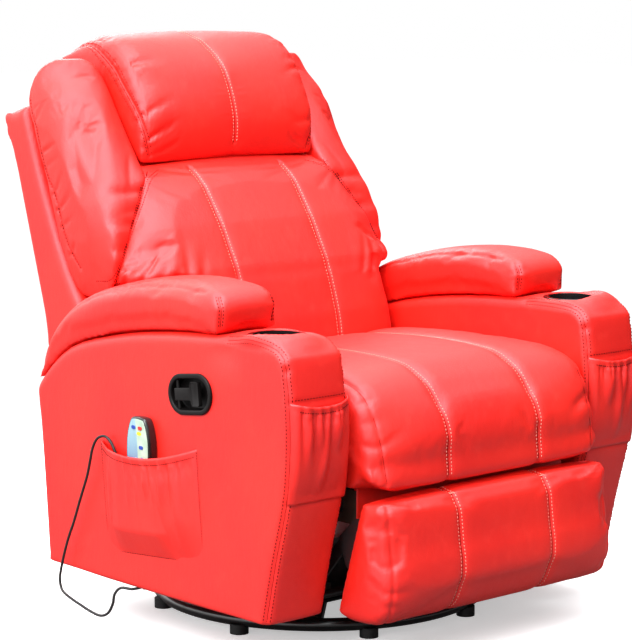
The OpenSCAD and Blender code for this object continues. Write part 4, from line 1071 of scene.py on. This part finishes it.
# Side outline: the underside from the front lip to the rear one, and the crown back over to the front
pillow_front_lip, pillow_rear_lip = (248, 815), (503, 1006)
pillow_under = curve([pillow_front_lip, (260, 822), (287, 850), (324, 900), (368, 942), (412, 965),
                      (455, 987), (498, 1000)], 2)
pillow_face = [(420, 1053), (370, 1058), (330, 1051), (296, 1028), (272, 1001), (252, 967), (237, 939),
               (225, 905), (222, 876), (226, 848)]
pillow_outline = np.vstack([
    pillow_under, curve([(508, 1010), (494, 1024), (460, 1042), *pillow_face, (234, 826)], 3)])
pillow_half, pillow_round = 214, 34
from_lips = np.linalg.norm(pillow_outline[:, None] - [pillow_front_lip, pillow_rear_lip], axis=2)
pillow = across("head_pillow_leather", pillow_outline,
                pad_stations(pillow_half, pillow_round, np.linspace(-170, 170, 35)),
                lambda x: 0.8 * edge_in(x, pillow_half, pillow_round) + 6 * (x / pillow_half) ** 4
                + 2 * bump_at(x, 0, 12) + 1,
                fixed=len(pillow_under), room=5 + 0.35 * from_lips.min(axis=1))
even(pillow, 5, 3)
swell(pillow, 4, 6, hold=np.abs(Skin(pillow).x) > 203)
modify(pillow, "SUBSURF", levels=1, render_levels=1)

# Seam over the pillow's middle
pillow_line = curve([(505, 1016), (470, 1038), *pillow_face], 8)
middle = np.zeros(len(pillow_line))
sew("backrest", pillow, np.c_[middle, pillow_line], np.c_[middle, inward(pillow_line)], (-5, 5), 2.5, 4.5)

# Seam round each end, with painted shade along its bottom, folds over the face and short ones in the end
pillow_end = curve([
    (206, 498, 1029), (206, 460, 1036), (205, 420, 1030), (205, 385, 1010), (204, 347, 981), (204, 319, 950),
    (204, 276, 903), (204, 249, 866), (203, 236, 835)], 12)
for side in (-1, 1):
    end = pillow_end * (side, 1, 1) - (side * 3, 0, 0)
    ring = np.array([at for at, _ in laid_on(pillow, end, (-0.5 * side, 0.72, -0.48))])
    skin = Skin(pillow)
    skin.seam(ring, 3.2, 4.0)
    into_end = (-0.3 * side, 0.79, -0.53)
    # Painted shade along the bottom of the end seam
    paint_seam_shade("backrest", laid_on(pillow, ring, into_end), 1.3)
    for offset in (-4.5, 4.5):
        stitch("backrest", laid_on(pillow, ring - (side * offset, 0, 0), into_end), "dark")
    on_face = skin.x * side < np.interp(skin.z, [826, 1029], [203, 205]) - 2
    skin.puckers(ring, on_face * 1.0, 5.0, 78, 24, lean=0.25 * side, seed=61 + side, width=5.0)
    skin.puckers(ring, (skin.x * side > 205) * 1.0, 2.0, 30, 14, lean=0.0, seed=71 + side, width=3.4)

# ------------------------------------------------------------------ riding

settle(arm, "chair_frame", "arm_cover_right", fill=0.9)
settle(arm_left, "chair_frame", "arm_cover_left", fill=0.9)
settle(pad, "chair_frame", "arm_pad_right", fill=0.8)
settle(pad_left, "chair_frame", "arm_pad_left", fill=0.8)
settle(seat, "seat", "seat_cushion", fill=0.7)
settle(foot, "footrest", "footrest_cushion", "footrest_board", fill=0.7)
settle(apron, "seat")
settle(back, "backrest", "back_cushion", fill=0.7)
settle(wing, "backrest", "wing_left", fill=0.6)
settle(wing_right, "backrest", "wing_right", fill=0.6)
settle(shell, "backrest", "back_shell", fill=0.9)
settle(tail, "backrest", "back_shell", fill=0.9)
settle(pillow, "backrest", "head_pillow", fill=0.6)

# ------------------------------------------------------------------ pockets

cloth_thick = 2.2


def pocket(name, wide, room, top, place, folds, seed, ramp, flat, tall, clear):
    """Gathered pocket front, sewn down at its sides and foot, and the width and height it was cut to.

    place(u, v, d) is the point at u across, v up and d off the panel, and top(u) is the mouth's height. The
    cloth stands off by room, from its foot at a rate of ramp and to its sides with a power of flat. Folds
    hang from the mouth, as deep as tall says, and clear keeps what is in the pocket inside it.
    """
    columns, rows = 150, 44
    rand = np.random.default_rng(seed)
    u = wide * (np.linspace(0, 1, columns) - 0.5)[:, None]
    t = np.linspace(0, 1, rows)[None]
    side = 1 - np.abs(2 * u / wide) ** flat
    wave = np.zeros((columns, rows))
    for k in range(folds):
        middle = wide * ((k + 0.5 + rand.uniform(-0.3, 0.3)) / folds - 0.5)
        drift, long, deep = rand.uniform(-12, 12), rand.uniform(0.35, 1.0), rand.uniform(0.5, 1.0)
        broad = 0.30 * wide / folds * (1 + 0.9 * (1 - t))
        wave += deep * bump_at(u, middle + drift * (1 - t), broad) * rise(t, 0.92 - long, 1.05 - 0.5 * long)
    pinch = 0.5 + 0.5 * np.cos(2 * np.pi * u / (wide / folds) * 1.9)
    body = room * np.sin(np.pi / 2 * np.minimum(1, ramp * t)) * (0.86 + 0.14 * t)
    gathers = tall * (wave - 0.3) * (1 - 0.75 * rise(t, 0.9, 0.95))
    elastic = 2.6 * pinch * bump_at(t, 0.87, 0.06)
    hem_edge = 1.6 * rise(t, 0.945, 0.955)
    off = side * (body + gathers - elastic + hem_edge)
    kept_clear = clear * np.minimum(1, t / 0.27) * (1 - rise(np.abs(u - 18), 50, 125))
    off = np.maximum(off, np.maximum(kept_clear + 1.5 * wave, 0.6 * rise(t, 0, 0.02)))
    grid = np.array([[place(u[i, 0], top(u[i, 0]) * t[0, j], 0.4 + off[i, j]) for j in range(rows)]
                     for i in range(columns)])
    faces = [(i * rows + j, i * rows + j + 1, (i + 1) * rows + j + 1, (i + 1) * rows + j)
             for i in range(columns - 1) for j in range(rows - 1)]
    piece = mesh_piece(name, grid.reshape(-1, 3), faces, red_leather)
    across_long = np.linalg.norm(np.diff(grid, axis=0), axis=2).sum(axis=0).mean()
    up_long = np.linalg.norm(np.diff(grid, axis=1), axis=2).sum(axis=1).mean()
    faces_front = place(0, 0, 1)[0] == place(0, 0, 0)[0]
    modify(piece, "SOLIDIFY", thickness=cloth_thick * MM, offset=1 if faces_front else -1)
    outward(piece)
    return piece, (across_long * MM, up_long * MM)


side_wide, side_high = 281, 204
side_y, side_foot = -70, 150
side_tilt = math.radians(5)
front_wide, front_high = 124, 172


def side_place(u, v, d):
    return (-arm_out - d - 0.4, side_y + u * math.cos(side_tilt) + v * math.sin(side_tilt),
            side_foot - u * math.sin(side_tilt) + v * math.cos(side_tilt))


def side_top(u):
    return side_high - 22 * (1 - (2 * u / side_wide) ** 2)


def front_place(u, v, d):
    z = pocket_foot + v
    return (-arm_x - u, front_y(z) + edge_in(np.array(u), arm_half, 18) - d - 1.0, z)


def front_top(u):
    return front_high - 9 * (1 - (2 * u / front_wide) ** 2)


side_pocket, side_cut = pocket(
    "side_pocket_right_leather", side_wide, 26, side_top, side_place,
    folds=12, seed=81, ramp=2.4, flat=3.2, tall=8.5, clear=24.6)
front_pocket, front_cut = pocket(
    "front_pocket_right_leather", front_wide, 14, front_top, front_place,
    folds=7, seed=85, ramp=2.2, flat=4, tall=11, clear=0)

# Thread rows inside the side pocket's foot and sides, and painted shade along the line where it meets the arm
half, margin, corner = side_wide / 2, 4, 8
foot_run = [side_place(u, margin, 0) for u in np.linspace(margin - half, half - margin, 60)]
side_runs = [[side_place(side * (half - margin), v, 0) for v in np.linspace(margin, side_high - margin, 50)]
             for side in (-1, 1)]
for run in (foot_run, *side_runs):
    stitch("chair_frame", laid_on(side_pocket, run, (1, 0, 0)), "dark", 5.0, 3.4)
edge_run = curve([(-half, side_high), (-half, corner), (corner - half, 0), (half - corner, 0),
                  (half, corner), (half, side_high)], 24)
# Painted shade along the pocket's edge
paint_seam_shade("chair_frame", [(np.array(side_place(u, v, 0.6)), np.array((-1.0, 0, 0))) for u, v in edge_run], 1.3)

# Thread rows under the hems of both pockets
side_hem = [side_place(u, side_top(u) - 12, 0) for u in np.linspace(8 - half, half - 8, 90)]
stitch("chair_frame", laid_on(side_pocket, side_hem, (1, 0, 0)), "dark", 4.4, 3.0)
half = front_wide / 2
front_hem = [front_place(u, front_top(u) - 11, 0) for u in np.linspace(6 - half, half - 6, 60)]
stitch("chair_frame", laid_on(front_pocket, front_hem, (0, 1, 0)), "dark", 4.4, 3.0)

for which, piece, cut in (("side", side_pocket, side_cut), ("front", front_pocket, front_cut)):
    other = twin(piece, f"{which}_pocket_left_leather")
    for each, hand in ((piece, "right"), (other, "left")):
        settle(each, "chair_frame", f"{which}_pocket_{hand}")

mirror_stitches("chair_frame")

# ------------------------------------------------------------------ rear valance

valance = block("rear_valance_leather", (0, 254, 134), (590, 12, 92), red_leather)
choose(valance, lambda place, normal: normal.y > 0.5, "FACE")
bpy.ops.mesh.inset(thickness=8 * MM)
bpy.ops.transform.translate(value=(0, -2 * MM, 0))
bpy.ops.object.mode_set(mode="OBJECT")
modify(valance, "BEVEL", width=3 * MM, segments=3)
settle(valance, "chair_frame", "rear_valance")

# ------------------------------------------------------------------ release lever

# Bezel: a flange whose rear is drawn out into the arm, and whose front is sunk into that as a cup
flange_thick, rear_in, cup_in, cup_floor = 7, 6, 8.5, 2.5
bezel = rounded_bar("lever_bezel_moulding", bezel_long, bezel_high, flange_thick, lever_black)
choose(bezel, lambda place, normal: normal.x < -0.9, "FACE")
bpy.ops.mesh.inset(thickness=rear_in * MM)
bpy.ops.mesh.extrude_region_move(TRANSFORM_OT_translate={"value": (-bezel_sunk * MM, 0, 0)})
bpy.ops.object.mode_set(mode="OBJECT")
choose(bezel, lambda place, normal: normal.x > 0.9, "FACE")
bpy.ops.mesh.inset(thickness=cup_in * MM)
bpy.ops.mesh.extrude_region_move(TRANSFORM_OT_translate={
    "value": ((cup_floor - flange_thick - bezel_sunk) * MM, 0, 0)})
bpy.ops.object.mode_set(mode="OBJECT")
outward(bezel)
modify(bezel, "BEVEL", width=2.4 * MM, segments=4, limit_method="ANGLE")
bezel.data.transform(bezel_place)
settle(bezel, "chair_frame", "lever_bezel", slot="black_plastic")

# Lever: from its hinge a narrow neck runs forward and widens into a T-shaped grip with a dished face
hinge_at = 23 - bezel_long / 2
neck_and_grip = ((15, 1.0), (6, 1.0), (4, 1.95), (17, 1.0), (3, 0.9))    # each [length, taller by]
lever = block("release_lever_handle", (1.5, hinge_at + 5, 0), (9, 20, 22), lever_black)
for reach, tall in neck_and_grip:
    choose(lever, lambda place, normal: normal.y > 0.9, "FACE")
    bpy.ops.mesh.extrude_region_move(TRANSFORM_OT_translate={"value": (0, reach * MM, 0)})
    bpy.ops.transform.resize(value=(1, 1, tall))
    bpy.ops.object.mode_set(mode="OBJECT")
choose(lever, lambda place, normal: normal.x > 0.9 and place.y > 0, "FACE")
bpy.ops.mesh.inset(thickness=2.5 * MM)
bpy.ops.transform.translate(value=(-1.4 * MM, 0, 0))
bpy.ops.object.mode_set(mode="OBJECT")
outward(lever)
modify(lever, "BEVEL", width=1.4 * MM, segments=3, limit_method="ANGLE")
hinge_thick, hinge_long = 6, 50
clear_selection()
bpy.ops.mesh.primitive_cylinder_add(vertices=24, radius=hinge_thick / 2 * MM, depth=hinge_long * MM,
                                    location=(0, hinge_at * MM, 0))
bpy.ops.object.transform_apply(location=True, rotation=True, scale=True)
join([lever, bpy.context.object])
lever.data.transform(bezel_place)
paint(lever, lever_black)
settle(lever, "lever", "release_lever", slot="black_plastic")
for piece in (bezel, lever):
    pick(piece)
    bpy.ops.object.shade_smooth_by_angle(angle=math.radians(35))

# ------------------------------------------------------------------ hand control

control_side = curve([(x * control_half, -z * control_long) for x, z in (
    (0, 0), (0.38, 0.006), (0.6, 0.03), (0.82, 0.12), (0.97, 0.25), (1, 0.4), (0.955, 0.57), (0.82, 0.75),
    (0.62, 0.9), (0.4, 0.975), (0.2, 1), (0, 1))], 4)
control_outline = (np.vstack([control_side * (-1, 1), control_side[::-1][1:-1]])
                   + (control_at[1], control_top))


def slices(name, rows, material):
    """Loft of the hand control's outline along X, with [x, drawn in by] rows."""
    return loft(name, [np.c_[np.full(len(control_outline), x), drawn_in(control_outline, gap)]
                       for x, gap in rows], material)


case = slices("hand_control_case", [
    (-434, 7), (-433.4, 5), (-434, 2.4), (-436, 0.9), (-440, 0.1), (-446, 0.1), (-449.5, 0.7),
    (-451.6, 1.9), (-452.5, 3.4), (-452.4, 4.2), (-451.9, 4.5)], gloss_black)
film = slices("hand_control_face", [(-451.6, 4.6), (-452.6, 4.6), (-453.0, 5.0), (-453.05, 9)], face_film)
settle(case, "hand_control", "remote_case_back", slot="black_plastic")
settle(film, "hand_control", "remote_case_front", slot="remote_face")

# Strain relief: a ribbed cone that widens up into the control's foot
relief_long, relief_below, relief_ribs, relief_steps = 22.5, 21, 5, 32
relief_rows = []
for t in np.arange(relief_steps + 1) / relief_steps:
    size = 3.4 + 2.0 * t ** 1.3 + 0.55 * math.cos(2 * math.pi * relief_ribs * t)
    z = control_top - control_long - relief_below + relief_long * t
    relief_rows.append([(control_at[0] + size * math.cos(a), control_at[1] + size * math.sin(a), z)
                        for a in np.linspace(0, 2 * np.pi, 24, endpoint=False)])
relief = loft("hand_control_strain_relief", relief_rows, matte_black)
settle(relief, "hand_control", "remote_strain_relief", slot="matte_black")
for piece in (case, film):
    pick(piece)
    bpy.ops.object.shade_smooth_by_angle(angle=math.radians(40))

# ------------------------------------------------------------------ rocker springs


def tube(name, path, thick, sides, material):
    """Round tube along a path, its ends closed."""
    ahead = np.gradient(path, axis=0)
    ahead /= np.linalg.norm(ahead, axis=1)[:, None]
    up = np.cross(ahead[0], (1, 0, 0))
    rings = []
    for at, way in zip(path, ahead):
        up = up - np.dot(up, way) * way
        up /= np.linalg.norm(up)
        rings.append([at + thick / 2 * (math.cos(a) * up + math.sin(a) * np.cross(way, up))
                      for a in np.linspace(0, 2 * np.pi, sides, endpoint=False)])
    return loft(name, rings, material)


# Four coils, level at both ends, that flex between the turntable and the rocking frame
coil_low, coil_high, coil_turns, coil_radius, coil_wire = 50.0, 127.7, 7, 12.8, 4.0
turn = np.linspace(0, 2 * np.pi * coil_turns, coil_turns * 20)
level = np.clip(turn / turn[-1] * 1.16 - 0.08, 0, 1)
coil_z = coil_low + coil_wire / 2 + level * (coil_high - coil_low - coil_wire)
coils = [tube("rocker_coil", np.c_[x + coil_radius * np.cos(turn), y + coil_radius * np.sin(turn), coil_z],
              coil_wire, 8, zinc) for x in (-87, 87) for y in (-80, 40)]
springs = join(coils)
springs.name = "rocker_coil_springs"
smooth_look(springs)
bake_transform(springs)
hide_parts("rocker_springs")

# ------------------------------------------------------------------ cord

# Out of the control, up out of the pocket, down the arm's side, in under the arm and to the control box
cord_points = [
    (-443, -47, 219.2), (-443, -47, 203), (-441.5, -40, 188), (-439, -22, 181), (-440, -3, 189),
    (-442, 6, 212), (-441, 12, 250), (-441, 22, 295), (-441, 38, 334), (-444, 56, 352), (-449, 74, 348),
    (-450, 88, 329), (-449, 98, 304), (-447, 111, 272), (-447, 132, 228), (-447, 153, 182),
    (-447, 170, 150), (-447, 184, 118), (-447, 196, 84), (-447, 200, 62), (-447, 192, 44), (-447, 168, 35),
    (-447, 141, 29), (-447, 106, 22), (-447, 76, 20), (-446, 54, 29), (-444, 42, 48), (-442, 39, 66),
    (-434, 31, 78), (-422, 14, 77), (-412, 0, 81), (-403, -4, 84), (-392, -5, 84), (-366, 2, 76),
    (-330, 18, 68), (-298, 38, 76), (-280, 54, 100), (-274, 60, 124), (-257, 60, 139)]
cord_line = curve(cord_points, 4)
cord_thick = 5
cord = tube("hand_control_cord", cord_line, cord_thick, 14, cord_rubber)
smooth_look(cord)
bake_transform(cord)
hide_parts("remote_cord")

# ------------------------------------------------------------------ stitching

# Each stitch is a four-sided bead with two points: its ends, and a ring of corners near either end
for (body, tone), rows in stitches.items():
    points, faces = [], []
    for middle, half_long, half_thick, half_wide in rows:
        base = len(points)
        points += [middle - half_long, middle + half_long]
        for share in (-0.6, 0.6):
            at = middle + share * half_long
            points += [at + half_wide, at + half_thick, at - half_wide, at - half_thick]
        for k in range(4):
            near, far = base + 2, base + 6
            turn = (k + 1) % 4
            faces += [(base, near + turn, near + k), (base + 1, far + k, far + turn),
                      (near + k, near + turn, far + turn, far + k)]
    seams = mesh_piece(f"{body}_{tone}_stitching", points, faces, threads[tone])
    outward(seams)
    settle(seams, body)

# ------------------------------------------------------------------ floor and light

# Floor: white far from the chair, and pale near it, where it takes the chair's shadow. Gloss sees little of
# it in front and more of it behind.
bpy.ops.mesh.primitive_plane_add(size=40, location=(0, 0, 0))
floor = bpy.context.object
floor.name = "floor"
f = Finish("floor", Roughness=0.9, Emission_Color=(1, 1, 1))
x, y, _ = f.axes()
far = ((x * x + y * y) ** 0.5).between(1.0, 2.4)
rays = f.node("ShaderNodeLightPath")
behind = (0.74 * y - 0.66 * x).between(0.9, 2.6)
seen = (rays["Is Camera Ray"] + rays["Is Transmission Ray"]
        + (0.05 + 0.6 * behind) * rays["Is Glossy Ray"]).math("MINIMUM", 1)
near_tone = f.mix(rays["Is Camera Ray"], (0.14, 0.13, 0.13), (0.86, 0.86, 0.87))
f.set("Base Color", f.mix(far, near_tone, (0, 0, 0)))
f.set("Emission Strength", seen * (0.45 + 0.55 * far))
floor.data.materials.append(f.material)

# Room: white to the camera, and to the chair a glow from above and behind its right side
world = bpy.data.worlds.new("studio")
bpy.context.scene.world = world
world.use_nodes = True
room = Nodes(world.node_tree)
heading = room.node("ShaderNodeTexCoord")["Generated"]
facing = room.node("ShaderNodeVectorMath", {"operation": "DOT_PRODUCT"}, {
    0: heading, 1: (-0.40, 0.26, 0.88)})["Value"]
rays = room.node("ShaderNodeLightPath")
direct = rays["Is Camera Ray"].math("MAXIMUM", rays["Is Transmission Ray"])
glow = 0.04 + 2.2 * facing.between(-0.15, 0.72)
room.node("ShaderNodeOutputWorld", sockets={"Surface": room.node("ShaderNodeBackground", sockets={
    "Color": (1, 1, 1, 1), "Strength": direct + (1 - direct) * glow})["Background"]})


def softbox(name, at, aim, size, power):
    """Square lamp at a place in metres, turned to its aim."""
    light = bpy.data.lights.new(name, "AREA")
    light.shape = "RECTANGLE"
    light.size, light.size_y = size
    light.energy = power
    lamp = bpy.data.objects.new(name, light)
    lamp.location = at
    lamp.rotation_euler = (Vector(aim) - Vector(at)).to_track_quat("-Z", "Y").to_euler()
    bpy.context.scene.collection.objects.link(lamp)


softbox("key", (-3.0, -1.0, 3.0), (0, 0, 0.5), (2.2, 2.2), 150)
softbox("above", (-0.4, -0.6, 3.6), (0, 0, 0.6), (2.2, 2.2), 95)
softbox("back", (0.9, 3.2, 2.8), (0, 0, 0.7), (2.6, 1.8), 95)
softbox("front", (0.6, -4.0, 1.8), (0, 0, 0.5), (2.0, 1.6), 8)

bpy.context.scene.view_settings.view_transform = "Standard"

import json
